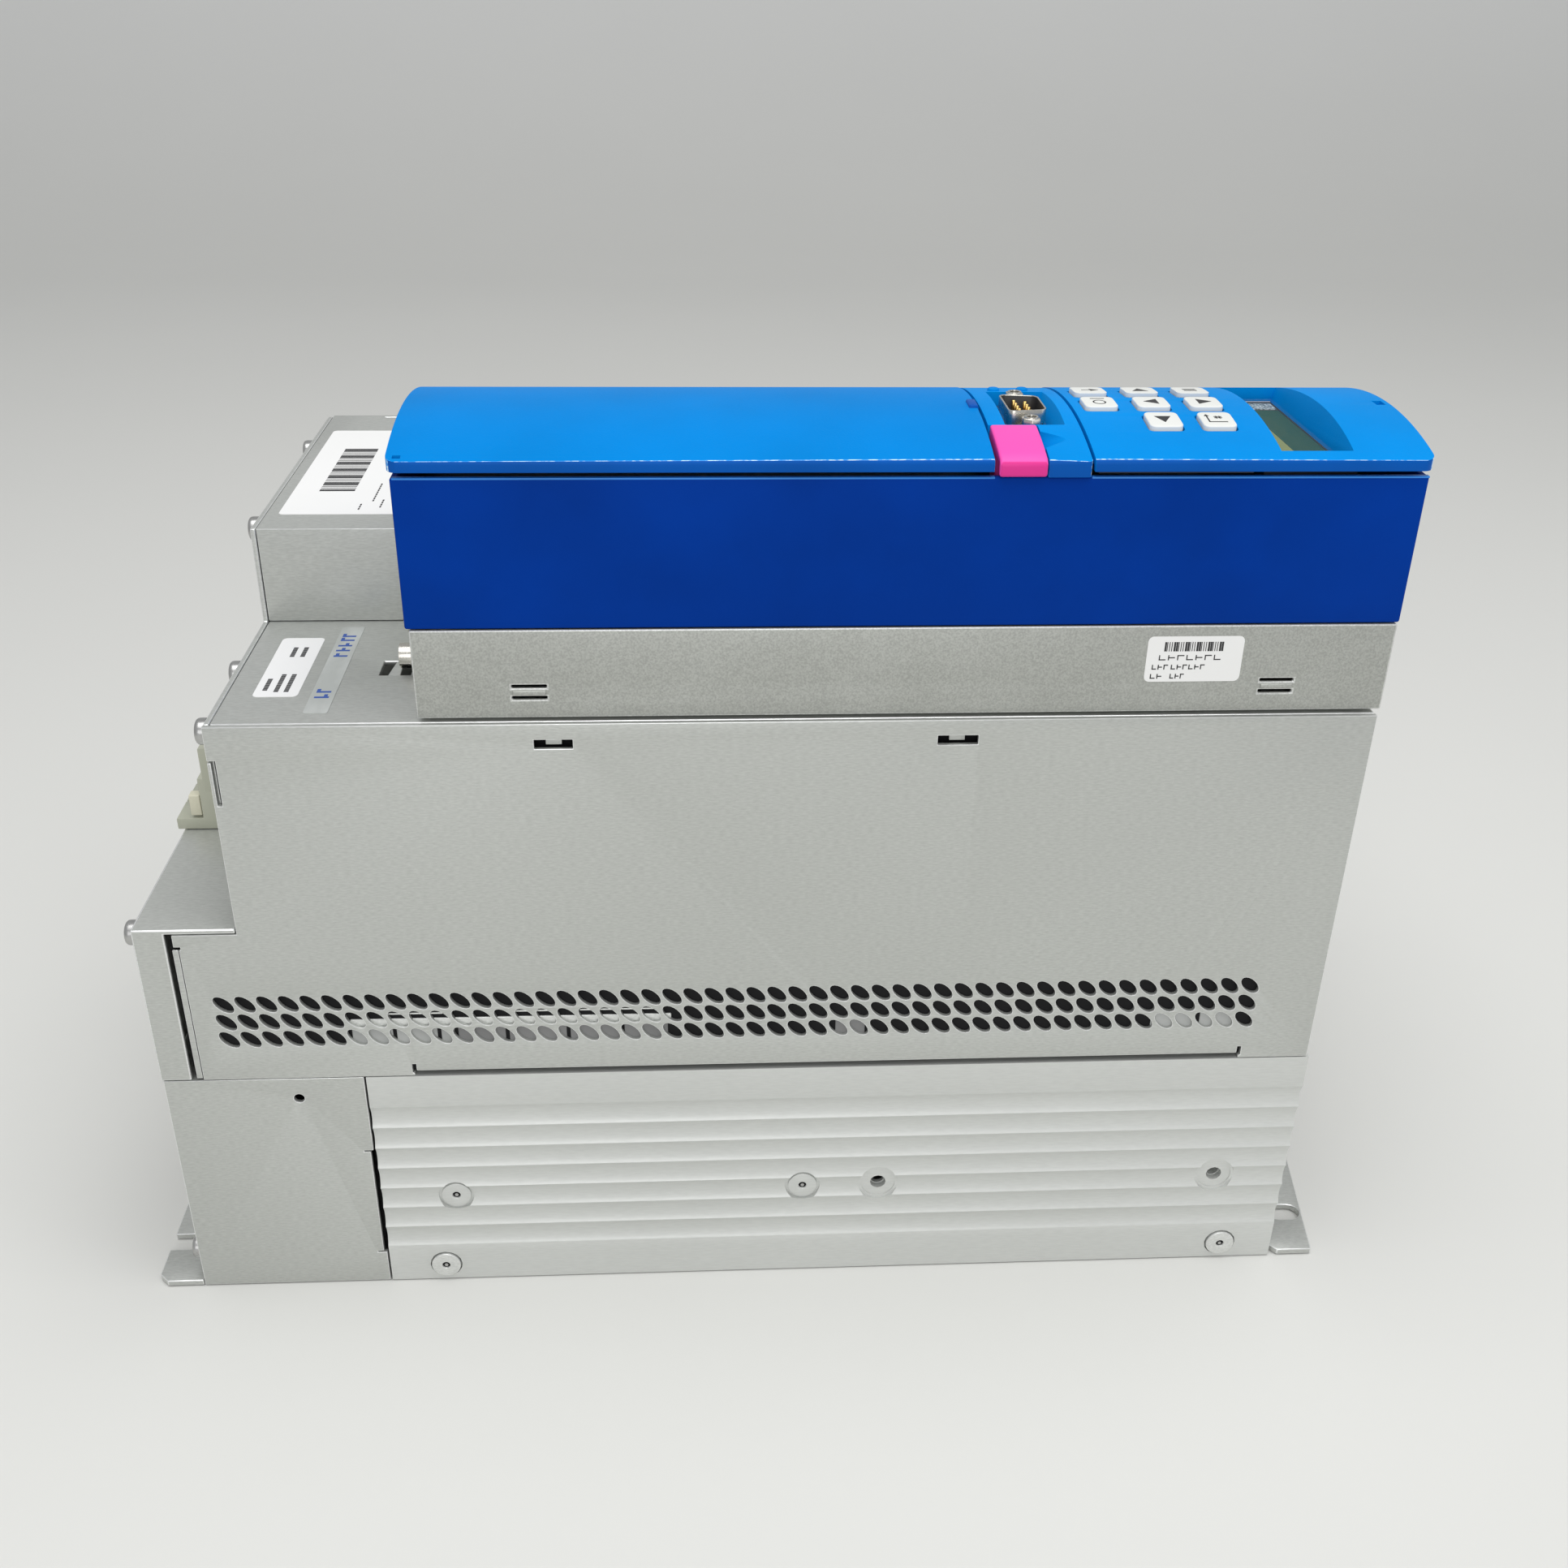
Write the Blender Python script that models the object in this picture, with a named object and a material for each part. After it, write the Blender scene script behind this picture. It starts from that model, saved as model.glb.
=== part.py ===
"""Variable frequency drive, lying on its mounting back.

Metres, +Z up. X runs from the drive's installed lower end (fans and terminals, -X) to its
upper end (display, +X). Y runs across it, the side with the control unit at -Y. The origin
is the middle of the overall box on the mounting plane.
"""

from math import asin, cos, pi, radians, sin, sqrt

import bmesh
import bpy
from mathutils import Matrix, Vector

# ---------------------------------------------------------------- driving dimensions
BODY_LENGTH = 0.3471          # heat sink with its fan shroud, without the lugs
BODY_WIDTH = 0.195
SINK_HEIGHT = 0.0821          # mounting plane to the top of the heat sink
STEP_RISE = 0.0534            # heat sink to the top of the terminal step
DECK_RISE = 0.1169            # heat sink to the top of the power housing
OPTION_RISE = 0.0294          # power housing to the top of the option cover
BASE_RISE = 0.0262            # control base
HOUSING_RISE = 0.0408         # blue control housing
STEP_DEPTH = 0.0288           # how far the terminal step stands out at the lower end
LUG_LOWER = 0.0146            # reach of the open-slot lugs
LUG_UPPER = 0.0208            # reach of the closed-slot lugs
SHROUD_LENGTH = 0.0589
CONTROL_START = 0.0841        # lower end of the body to the control housing
CONTROL_WIDTH = 0.0700
CONTROL_INSET = 0.0023        # control housing behind the near side
CONTROL_OVERHANG = 0.0010     # control housing past the upper end

SHEET = 0.0015                # sheet metal of the covers
PLATE = 0.0020                # back plate
PLASTIC = 0.0022              # moulded walls
BOARD = 0.0016                # circuit boards
GAP = 0.0003                  # between neighbours that rest on each other

# Cover of the control unit
COVER_GAP = 0.0012            # shadow gap over the blue housing
COVER_LIP = 0.0032            # upright edge of the covers
COVER_OVERHANG = 0.0007       # covers past the housing, on every side
CROWN_RADIUS = 0.1250
KEYPAD_LENGTH = 0.0884
BRIDGE_LENGTH = 0.0240        # fixed piece between the covers
SPLIT_GAP = 0.0005            # between the front cover and the bridge
CROWN_SEGMENTS = 12

# Keys: columns along X, rows across Y
KEY_LENGTH = 0.0089
KEY_WIDTH = 0.0095
KEY_PITCH_X = 0.0142
KEY_PITCH_Y = 0.01335
KEY_FIRST_X = 0.0079          # bridge to the middle of the first column
KEY_FIRST_Y = 0.0197          # near edge of the covers to the middle of the near row
KEY_PROUD = 0.0015            # key tops over the crown
KEY_CLEARANCE = 0.0004
KEY_TRAVEL = 0.0010
KEY_ROUND = 0.0012

# Display
DISPLAY_START = 0.0492        # bridge to the display opening
DISPLAY_LENGTH = 0.0188
DISPLAY_MARGIN = 0.0044       # opening to the near and far edges of the covers
WINDOW_DEPTH = 0.0020         # upright edge of the covers to the window
DISPLAY_INSET = 0.0020        # display opening to the module, near and far
DISPLAY_REACH = 0.0030        # display module past the opening, along X
MAT_MARGIN = 0.0060           # outer key middles to the ends of the key mat
WINDOW_THICK = 0.0012

# Serial connector in the bridge, nine pins
CONNECTOR_LENGTH = 0.0308
CONNECTOR_OFFSET = 0.0076     # start of the recess to the middle of the connector
OPENING_HALF_X = 0.0050       # opening in the recess floor for the connector's body
OPENING_HALF_Y = 0.0098
CONNECTOR_WIDTH = 0.0125
CONNECTOR_SPACING = 0.0250    # between the jack nuts
CONNECTOR_TALL = 0.0058
RECESS_CLEARANCE = 0.0004
RECESS_START_X = 0.0044
RECESS_LENGTH_X = 0.0165
RECESS_FLOOR = 0.0026         # thickness left under the recess

# Memory module
MODULE_LENGTH = 0.0122
MODULE_REACH = 0.0186         # from the near edge over the crown
MODULE_CLEARANCE = 0.0004
MODULE_PROUD = 0.0003
MODULE_WALL = 0.0024
MODULE_DROP = 0.0041          # front lip under the crown's near edge

# Vents in the side panels
VENT_ROWS = 3
VENT_PITCH_X = 0.00618
VENT_PITCH_Z = 0.00625
VENT_FIRST_X = 0.0216         # lower end of the body to the first column
VENT_LAST_X = 0.0220          # least distance of the last column from the upper end
VENT_FIRST_Z = 0.0148         # heat sink to the lowest row
VENT_LONG = 0.0064
VENT_SHORT = 0.0042
VENT_TILT = radians(-45)
VENT_SIDES = 6

# Heat sink
FLUTE_PITCH = 0.0080
FLUTE_DEPTH = 0.0010
FLUTE_FIRST = 0.0145          # mounting plane to the lowest ridge
FLUTE_TOP = 0.0115            # least plain strip over the flutes
FLUTE_STEPS = 3
SINK_WALL = 0.0048
SINK_BASE = 0.0120
FIN_COUNT = 12
FIN_THICK = 0.0030

# Fans
FAN_CLEARANCE = 0.0043        # fan frame to the shroud and to the back plate
FAN_DEPTH = 0.0250
FAN_RIM = 0.0035              # frame left at the bore's widest
FAN_HUB = 0.0140
FAN_TIP_GAP = 0.0015
FAN_BLADES = 7
FAN_ARMS = 3
FAN_BLADE_CHORD = 0.0150
FAN_BLADE_THICK = 0.0014
FAN_BLADE_PITCH = radians(38)
FAN_MOUNT = 0.0035            # fixed hub and arms behind the rotor
GUARD_RIM = 0.0025            # guard over the fan's bore
GUARD_THICK = 0.0012

# Fixing lugs
SLOT_WIDTH = 0.0070
SLOT_EDGE = 0.0175            # middle of a slot to the side of the body
SLOT_SPACING = BODY_WIDTH - 2 * SLOT_EDGE
SLOT_LOWER = 0.0077           # lower end of the body to the middle of the slot's round end
SLOT_UPPER = 0.0102           # upper end of the body to the closed slot's middle
SLOT_UPPER_LENGTH = 0.0120
LUG_CHAMFER = 0.0030
LUG_INNER = 0.0200            # middle of the body to the inner side of a lug
LUG_SHOULDER_X = 0.0064       # sloping corner of the upper lugs, along X
LUG_SHOULDER_Y = 0.0432       # and along Y
WAIST_HALF = 0.0140           # half the back plate's width between its lugs
WAIST_INSET = 0.0040          # back plate past the body between its lugs

# Fasteners
SCREW_HEAD = 0.0037
SCREW_HEAD_TALL = 0.0030
RIVET_RADIUS = 0.0048
RIVET_HEAD = 0.0007
RIVET_POCKET = 0.0003         # clearance round a rivet head
RIVET_SINK = 0.0014           # depth of the pocket

# Electronics
POWER_MODULE_SIZE = (0.122, 0.062, 0.0165)
CAPACITOR_RADIUS = 0.0175
CAPACITOR_TALL = 0.0600
CAPACITOR_COUNT = 4
CAPACITOR_PITCH = 0.0400
CAPACITOR_FIRST = 0.1150      # lower end of the body to the first capacitor
CONTROL_BOARD_DEPTH = 0.0114  # top of the blue housing to the control board
OPTION_BOARD_DROP = 0.0240    # top of the option cover to its board
OPTION_BOARD_LENGTH = 0.1500
OPTION_BLOCK_TALL = 0.0110
OPTION_BLOCK_LENGTH = 0.0660
ENCODER_WIDTH = 0.0274
ENCODER_TALL = 0.0134
ENCODER_REACH = 0.0060         # encoder block in front of the lower end plate
OPTION_REACH = 0.0030          # option block in front of the lower end plate
SIGNAL_REACH = 0.0070          # signal block in front of the control base
SIGNAL_LENGTH = 0.0200
SIGNAL_TALL = 0.0160
BLOCK_CLEARANCE = 0.0003

# ---------------------------------------------------------------- places worked out
OVERALL_LENGTH = LUG_LOWER + BODY_LENGTH + LUG_UPPER
X_LOW = LUG_LOWER - OVERALL_LENGTH / 2
X_HIGH = X_LOW + BODY_LENGTH
X_FACE = X_LOW + STEP_DEPTH
X_SHROUD = X_LOW + SHROUD_LENGTH
X_CONTROL = X_LOW + CONTROL_START
X_CONTROL_END = X_HIGH + CONTROL_OVERHANG
Y_NEAR = -BODY_WIDTH / 2
Y_FAR = BODY_WIDTH / 2
Y_CONTROL = Y_NEAR + CONTROL_INSET
Y_CONTROL_END = Y_CONTROL + CONTROL_WIDTH
Y_OPTION = Y_CONTROL_END + GAP
Y_MIDDLE = (Y_CONTROL + Y_CONTROL_END) / 2
Z_SINK = SINK_HEIGHT
Z_STEP = Z_SINK + STEP_RISE
Z_DECK = Z_SINK + DECK_RISE
Z_OPTION = Z_DECK + OPTION_RISE
Z_BASE = Z_DECK + BASE_RISE
Z_HOUSING = Z_BASE + HOUSING_RISE
Z_LIP = Z_HOUSING + COVER_GAP
Z_EDGE = Z_LIP + COVER_LIP
COVER_HALF = CONTROL_WIDTH / 2 + COVER_OVERHANG
Z_CREST = Z_EDGE + CROWN_RADIUS - sqrt(CROWN_RADIUS ** 2 - COVER_HALF ** 2)
X_COVER = X_CONTROL - COVER_OVERHANG
X_KEYPAD_END = X_CONTROL_END + COVER_OVERHANG
X_KEYPAD = X_KEYPAD_END - KEYPAD_LENGTH
X_BRIDGE = X_KEYPAD - GAP - BRIDGE_LENGTH
X_COVER_END = X_BRIDGE - SPLIT_GAP
X_PANEL_END = X_HIGH - 0.0008
Z_BOARD_TOP = Z_HOUSING - CONTROL_BOARD_DEPTH + BOARD
SINK_INNER = BODY_WIDTH / 2 - SINK_WALL
FAN_SIZE = Z_SINK - SHEET - PLATE - 2 * FAN_CLEARANCE
FAN_BORE = FAN_SIZE / 2 - FAN_RIM
FAN_TIP = FAN_BORE - FAN_TIP_GAP
GUARD_RADIUS = FAN_BORE + GUARD_RIM
VENT_COLUMNS = int((BODY_LENGTH - VENT_FIRST_X - VENT_LAST_X) / VENT_PITCH_X) + 1
FLUTE_COUNT = int((SINK_HEIGHT - FLUTE_FIRST - FLUTE_TOP) / FLUTE_PITCH)


def crown_height(y):
    """Height of the crown at y."""
    return Z_CREST - CROWN_RADIUS + sqrt(CROWN_RADIUS ** 2 - (y - Y_MIDDLE) ** 2)


# ---------------------------------------------------------------- scene and helpers
for leftover in list(bpy.data.objects):
    bpy.data.objects.remove(leftover, do_unlink=True)

PARTS = bpy.data.collections.new("frequency_drive")
CUTTERS = bpy.data.collections.new("cutters")
bpy.context.scene.collection.children.link(PARTS)
bpy.context.scene.collection.children.link(CUTTERS)
CUTTERS.hide_render = True


def finish(name, colour, roughness, metallic=0.0):
    """A plain material: colour, roughness and metallic value."""
    material = bpy.data.materials.new(name)
    material.use_nodes = True
    shader = material.node_tree.nodes["Principled BSDF"]
    shader.inputs["Base Color"].default_value = (*colour, 1.0)
    shader.inputs["Roughness"].default_value = roughness
    shader.inputs["Metallic"].default_value = metallic
    material.diffuse_color = (*colour, 1.0)
    return material


ZINC = finish("zinc_sheet", (0.46, 0.48, 0.47), 0.42, 0.85)
ALUMINIUM = finish("extruded_aluminium", (0.50, 0.52, 0.51), 0.38, 0.85)
WARM_GREY = finish("coated_grey_sheet", (0.38, 0.39, 0.36), 0.50, 0.60)
DEEP_BLUE = finish("deep_blue_plastic", (0.00, 0.045, 0.31), 0.38)
BRIGHT_BLUE = finish("bright_blue_plastic", (0.00, 0.26, 0.80), 0.40)
WHITE = finish("white_plastic", (0.80, 0.80, 0.77), 0.45)
PINK = finish("pink_plastic", (0.90, 0.10, 0.45), 0.40)
BEIGE = finish("beige_plastic", (0.42, 0.42, 0.35), 0.50)
BLACK = finish("black_plastic", (0.02, 0.02, 0.02), 0.45)
RUBBER = finish("grey_rubber", (0.10, 0.10, 0.10), 0.80)
STEEL = finish("nickel_steel", (0.62, 0.62, 0.60), 0.25, 1.0)
GREEN = finish("circuit_board", (0.02, 0.14, 0.06), 0.50)
LCD = finish("display_glass", (0.12, 0.15, 0.05), 0.20)
WINDOW = finish("clear_window", (0.08, 0.12, 0.10), 0.08)
SLEEVE = finish("capacitor_sleeve", (0.05, 0.05, 0.07), 0.35)


def show(name, mesh, material, location=(0, 0, 0), rotation=(0, 0, 0)):
    """Puts a mesh in the scene as one sub-part."""
    mesh.materials.clear()
    mesh.materials.append(material)
    obj = bpy.data.objects.new(name, mesh)
    obj.location = location
    obj.rotation_euler = rotation
    PARTS.objects.link(obj)
    return obj


def as_cutter(obj):
    """Turns a sub-part into a hidden helper for Booleans."""
    PARTS.objects.unlink(obj)
    CUTTERS.objects.link(obj)
    obj.hide_render = True
    obj.display_type = "WIRE"
    return obj


def mesh_from(bm, name):
    mesh = bpy.data.meshes.new(name)
    bmesh.ops.recalc_face_normals(bm, faces=bm.faces)
    bm.to_mesh(mesh)
    bm.free()
    return mesh


def box(name, x_range, y_range, z_range, material):
    """A block between three pairs of planes, its origin at its middle."""
    low = Vector((x_range[0], y_range[0], z_range[0]))
    high = Vector((x_range[1], y_range[1], z_range[1]))
    bm = bmesh.new()
    bmesh.ops.create_cube(bm, size=1.0)
    bmesh.ops.scale(bm, verts=bm.verts, vec=high - low)
    return show(name, mesh_from(bm, name), material, (low + high) / 2)


def cylinder(name, centre, axis, radius, length, material, sides=24, tip=None):
    """A cylinder, or a cone when tip is given, along X, Y or Z, its origin at its middle."""
    turn = {
        "X": Matrix.Rotation(pi / 2, 4, "Y"),
        "Y": Matrix.Rotation(pi / 2, 4, "X"),
        "Z": Matrix.Identity(4),
    }[axis]
    bm = bmesh.new()
    end = radius if tip is None else tip
    bmesh.ops.create_cone(
        bm, cap_ends=True, segments=sides, radius1=radius, radius2=end, depth=length
    )
    bmesh.ops.transform(bm, matrix=turn, verts=bm.verts)
    obj = show(name, mesh_from(bm, name), material, centre)
    obj.data.shade_smooth()
    obj.data.set_sharp_from_angle(angle=radians(35))
    return obj


FACING = {"X": (pi / 2, 0, pi / 2), "Y": (pi / 2, 0, 0), "Z": (0, 0, 0)}


def plate(name, outline, axis, span, material, holes=()):
    """A flat outline with holes, extruded over a span along X, Y or Z.

    Its points are (Y, Z) for X, (X, Z) for Y and (X, Y) for Z.
    """
    curve = bpy.data.curves.new(name, "CURVE")
    curve.dimensions = "2D"
    curve.fill_mode = "BOTH"
    curve.extrude = (span[1] - span[0]) / 2
    for ring in (outline, *holes):
        spline = curve.splines.new("POLY")
        spline.points.add(len(ring) - 1)
        for point, place in zip(spline.points, ring):
            point.co = (*place, 0.0, 1.0)
        spline.use_cyclic_u = True
    middle = (span[0] + span[1]) / 2
    guide = bpy.data.objects.new(name + "_outline", curve)
    bpy.context.scene.collection.objects.link(guide)
    bpy.context.view_layer.update()
    graph = bpy.context.evaluated_depsgraph_get()
    mesh = bpy.data.meshes.new_from_object(guide.evaluated_get(graph))
    bpy.data.objects.remove(guide, do_unlink=True)
    bm = bmesh.new()
    bm.from_mesh(mesh)
    bmesh.ops.remove_doubles(bm, verts=bm.verts, dist=1e-6)
    place = {"X": (middle, 0, 0), "Y": (0, middle, 0), "Z": (0, 0, middle)}[axis]
    return show(name, mesh_from(bm, name), material, place, FACING[axis])


def rectangle(a_range, b_range):
    (a0, a1), (b0, b1) = a_range, b_range
    return [(a0, b0), (a1, b0), (a1, b1), (a0, b1)]


def arc(centre, radius, start, stop, steps):
    """Points on an arc, from start to stop in radians."""
    return [
        (
            centre[0] + radius * cos(start + (stop - start) * i / steps),
            centre[1] + radius * sin(start + (stop - start) * i / steps),
        )
        for i in range(steps + 1)
    ]


def boolean(target, other, operation):
    modifier = target.modifiers.new(operation.title(), "BOOLEAN")
    modifier.operation = operation
    modifier.solver = "EXACT"
    modifier.object = other


def cut(target, cutter):
    boolean(target, as_cutter(cutter), "DIFFERENCE")


def join(target, piece):
    boolean(target, as_cutter(piece), "UNION")


def cut_box(target, name, x_range, y_range, z_range):
    cut(target, box(name, x_range, y_range, z_range, BLACK))


# ---------------------------------------------------------------- back plate
def lug_outline():
    """Half of the back plate, its far side: (X, Y) from the middle line outwards."""
    inner = SINK_INNER - GAP
    slot = SLOT_SPACING / 2
    half = SLOT_WIDTH / 2
    left = X_LOW - LUG_LOWER
    right = X_HIGH + LUG_UPPER
    slot_end = (X_LOW - SLOT_LOWER, slot)
    points = [(left, LUG_INNER), (left, slot - half)]
    points += arc(slot_end, half, -pi / 2, pi / 2, 6)
    points += [
        (left, slot + half),
        (left, Y_FAR - LUG_CHAMFER),
        (left + LUG_CHAMFER, Y_FAR),
        (X_LOW - GAP, Y_FAR),
        (X_LOW - GAP, inner),
        (X_HIGH + GAP, inner),
        (X_HIGH + GAP, Y_FAR - LUG_CHAMFER),
        (X_HIGH + LUG_CHAMFER, Y_FAR),
        (right - LUG_SHOULDER_X, Y_FAR),
        (right, Y_FAR - LUG_SHOULDER_Y),
        (right, LUG_INNER),
    ]
    return points


def make_back_plate():
    """Sheet between the heat sink's walls, with open slots below and closed slots above."""
    half = lug_outline()
    waist = (X_HIGH + WAIST_INSET, WAIST_HALF)
    far_side = half + [waist]
    outline = far_side + [(x, -y) for x, y in reversed(far_side)]
    outline += [(X_LOW - WAIST_INSET, -WAIST_HALF), (X_LOW - WAIST_INSET, WAIST_HALF)]
    reach = SLOT_UPPER_LENGTH / 2 - SLOT_WIDTH / 2
    holes = []
    for side in (-1, 1):
        y = side * SLOT_SPACING / 2
        x = X_HIGH + SLOT_UPPER
        ring = arc((x + reach, y), SLOT_WIDTH / 2, -pi / 2, pi / 2, 6)
        ring += arc((x - reach, y), SLOT_WIDTH / 2, pi / 2, 3 * pi / 2, 6)
        holes.append(ring)
    plate("back_plate", outline, "Z", (0.0, PLATE), ZINC, holes)


# ---------------------------------------------------------------- heat sink
def fluted_wall(side):
    """Outer wall of the extrusion from the top down: flats with shallow flutes between."""
    top = FLUTE_FIRST + FLUTE_COUNT * FLUTE_PITCH
    points = [(side * Y_FAR, Z_SINK), (side * Y_FAR, top)]
    for flute in range(FLUTE_COUNT):
        start = top - flute * FLUTE_PITCH
        for step in range(1, FLUTE_STEPS + 1):
            share = step / FLUTE_STEPS
            depth = FLUTE_DEPTH * sin(pi * share)
            points.append((side * (Y_FAR - depth), start - share * FLUTE_PITCH))
    points.append((side * Y_FAR, 0.0))
    return points


def make_heat_sink():
    """Extruded profile: base, fins hanging from it and two fluted outer walls."""
    inner = SINK_INNER
    fin_foot = PLATE + GAP
    base = Z_SINK - SINK_BASE
    profile = fluted_wall(1)
    profile.append((inner, 0.0))
    profile.append((inner, base))
    pitch = 2 * inner / (FIN_COUNT + 1)
    for fin in range(FIN_COUNT):
        middle = inner - pitch * (fin + 1)
        profile.append((middle + FIN_THICK / 2, base))
        profile.append((middle + FIN_THICK / 2, fin_foot))
        profile.append((middle - FIN_THICK / 2, fin_foot))
        profile.append((middle - FIN_THICK / 2, base))
    profile.append((-inner, base))
    profile.append((-inner, 0.0))
    profile += reversed(fluted_wall(-1))
    start = X_SHROUD + 2 * GAP
    sink = plate("heat_sink", profile, "X", (start, X_HIGH), ALUMINIUM)
    for place, (x, z) in enumerate(RIVET_PLACES):
        name = f"rivet_pocket_{place}"
        depth = 2 * RIVET_SINK
        radius = RIVET_RADIUS + RIVET_POCKET
        cut(sink, cylinder(name, (x, Y_NEAR, z), "Y", radius, depth, BLACK, 16))
    for place, (x, z) in enumerate(HOLE_PLACES):
        seat = cylinder(f"hole_seat_{place}", (x, Y_NEAR, z), "Y", 0.0064, 0.0020, BLACK, 16)
        cut(sink, seat)
        hole = cylinder(f"hole_{place}", (x, Y_NEAR, z), "Y", 0.0025, 0.0070, BLACK, 12)
        cut(sink, hole)


RIVET_PLACES = [
    (X_LOW + 0.0825, 0.0343),
    (X_LOW + 0.1914, 0.0347),
    (X_LOW + 0.0772, 0.0062),
    (X_HIGH - 0.0172, 0.0062),
]
HOLE_PLACES = [(X_LOW + 0.2155, 0.0350), (X_HIGH - 0.0228, 0.0348)]


def make_rivets():
    """Flanged rivet heads in their pockets, each with a dimple in the middle."""
    for number, (x, z) in enumerate(RIVET_PLACES, start=1):
        back = Y_NEAR + RIVET_SINK - GAP
        thick = RIVET_SINK - GAP + (RIVET_HEAD if number > 2 else 0.0)
        middle = back - thick / 2
        name = f"side_rivet_{number}"
        rivet = cylinder(name, (x, middle, z), "Y", RIVET_RADIUS, thick, STEEL, 16)
        front = back - thick
        cut(rivet, cylinder(name + "_dimple", (x, front, z), "Y", 0.0011, 0.0012, BLACK, 8))


# ---------------------------------------------------------------- fan shroud and fans
FAN_PLACES = {"near": -BODY_WIDTH / 4, "far": BODY_WIDTH / 4}
FAN_HEIGHT = (PLATE + Z_SINK - SHEET) / 2
X_FAN = X_LOW + SHEET + GAP + FAN_DEPTH / 2


def make_fan_shroud():
    """Sheet hood over the fans, open towards the heat sink."""
    shroud = box("fan_shroud", (X_LOW, X_SHROUD), (Y_NEAR, Y_FAR), (0.0, Z_SINK), ZINC)
    inside = (X_LOW + SHEET, X_SHROUD + SHEET)
    inside_y = (Y_NEAR + SHEET, Y_FAR - SHEET)
    cut_box(shroud, "shroud_inside", inside, inside_y, (-SHEET, Z_SINK - SHEET))
    passage = (X_LOW - SHEET, X_LOW + 2 * SHEET)
    cut_box(shroud, "plate_passage", passage, (-SINK_INNER, SINK_INNER), (-PLATE, PLATE + GAP))
    for side, y in FAN_PLACES.items():
        centre = (X_LOW, y, FAN_HEIGHT)
        cut(shroud, cylinder(f"air_inlet_{side}", centre, "X", FAN_BORE - 0.001, 0.008, BLACK, 24))
    place = (X_LOW + 0.0390, Y_NEAR, Z_SINK - 0.0074)
    cut(shroud, cylinder("shroud_hole", place, "Y", 0.0016, 0.006, BLACK, 10))


def make_fan(side, y):
    """Square frame with its bore, the fixed motor mount behind, and the rotor."""
    half = FAN_SIZE / 2
    x_range = (X_FAN - FAN_DEPTH / 2, X_FAN + FAN_DEPTH / 2)
    frame = box(
        f"fan_frame_{side}",
        x_range,
        (y - half, y + half),
        (FAN_HEIGHT - half, FAN_HEIGHT + half),
        BLACK,
    )
    mount_x = x_range[1] - FAN_MOUNT
    bore_x = (x_range[0] - FAN_MOUNT + mount_x) / 2
    bore_length = mount_x - x_range[0] + FAN_MOUNT
    centre = (bore_x, y, FAN_HEIGHT)
    cut(frame, cylinder(f"fan_bore_{side}", centre, "X", FAN_BORE, bore_length, BLACK, 24))
    middle = (y, FAN_HEIGHT)
    for arm in range(FAN_ARMS):
        start = arm * 2 * pi / FAN_ARMS + radians(30)
        stop = start + 2 * pi / FAN_ARMS
        outer = FAN_BORE - 0.0010
        sector = arc(middle, outer, start + asin(0.002 / outer), stop - asin(0.002 / outer), 6)
        inner = (stop - asin(0.002 / FAN_HUB), start + asin(0.002 / FAN_HUB))
        sector += arc(middle, FAN_HUB, *inner, 4)
        window = (mount_x - 0.001, x_range[1] + 0.001)
        cut(frame, plate(f"fan_window_{side}_{arm}", sector, "X", window, BLACK))
    make_rotor(side, y, x_range[0] + 0.0015, mount_x - 0.0010)


def make_rotor(side, y, x_start, x_stop):
    """Hub with pitched blades, its origin on the fan's axis."""
    middle = (x_start + x_stop) / 2
    centre = Vector((middle, y, FAN_HEIGHT))
    hub = cylinder(f"fan_rotor_{side}", centre, "X", FAN_HUB, x_stop - x_start, BLACK, 21)
    for number in range(FAN_BLADES):
        bm = bmesh.new()
        bmesh.ops.create_cube(bm, size=1.0)
        root = FAN_HUB - 0.0015
        size = (FAN_BLADE_THICK, FAN_BLADE_CHORD, FAN_TIP - root)
        bmesh.ops.scale(bm, verts=bm.verts, vec=size)
        turn = Matrix.Rotation(FAN_BLADE_PITCH, 4, "Z")
        bmesh.ops.transform(bm, verts=bm.verts, matrix=turn)
        lift = Matrix.Translation((0, 0, (FAN_TIP + root) / 2 - 0.0012))
        bmesh.ops.transform(bm, verts=bm.verts, matrix=lift)
        name = f"blade_{side}_{number}"
        angle = (2 * pi * number / FAN_BLADES, 0, 0)
        join(hub, show(name, mesh_from(bm, name), BLACK, centre, angle))


def make_guard(side, y):
    """Flat finger guard: two rings of slots between four spokes."""
    outline = arc((y, FAN_HEIGHT), GUARD_RADIUS, 0, 2 * pi * 23 / 24, 23)
    holes = []
    rings = ((0.0090, 0.0185), (0.0210, GUARD_RADIUS - 0.0040))
    for inner, outer in rings:
        for quarter in range(4):
            start = quarter * pi / 2 + asin(0.0014 / inner)
            stop = (quarter + 1) * pi / 2 - asin(0.0014 / inner)
            ring = arc((y, FAN_HEIGHT), outer, start, stop, 4)
            ring += arc((y, FAN_HEIGHT), inner, stop, start, 4)
            holes.append(ring)
    span = (X_LOW - GAP - GUARD_THICK, X_LOW - GAP)
    plate(f"fan_guard_{side}", outline, "X", span, STEEL, holes)


# ---------------------------------------------------------------- sheet housing
Z_PANEL = Z_SINK + GAP
LATCH_WINDOWS = [(0.1158, 0.1262), (0.2251, 0.2362)]


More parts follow.
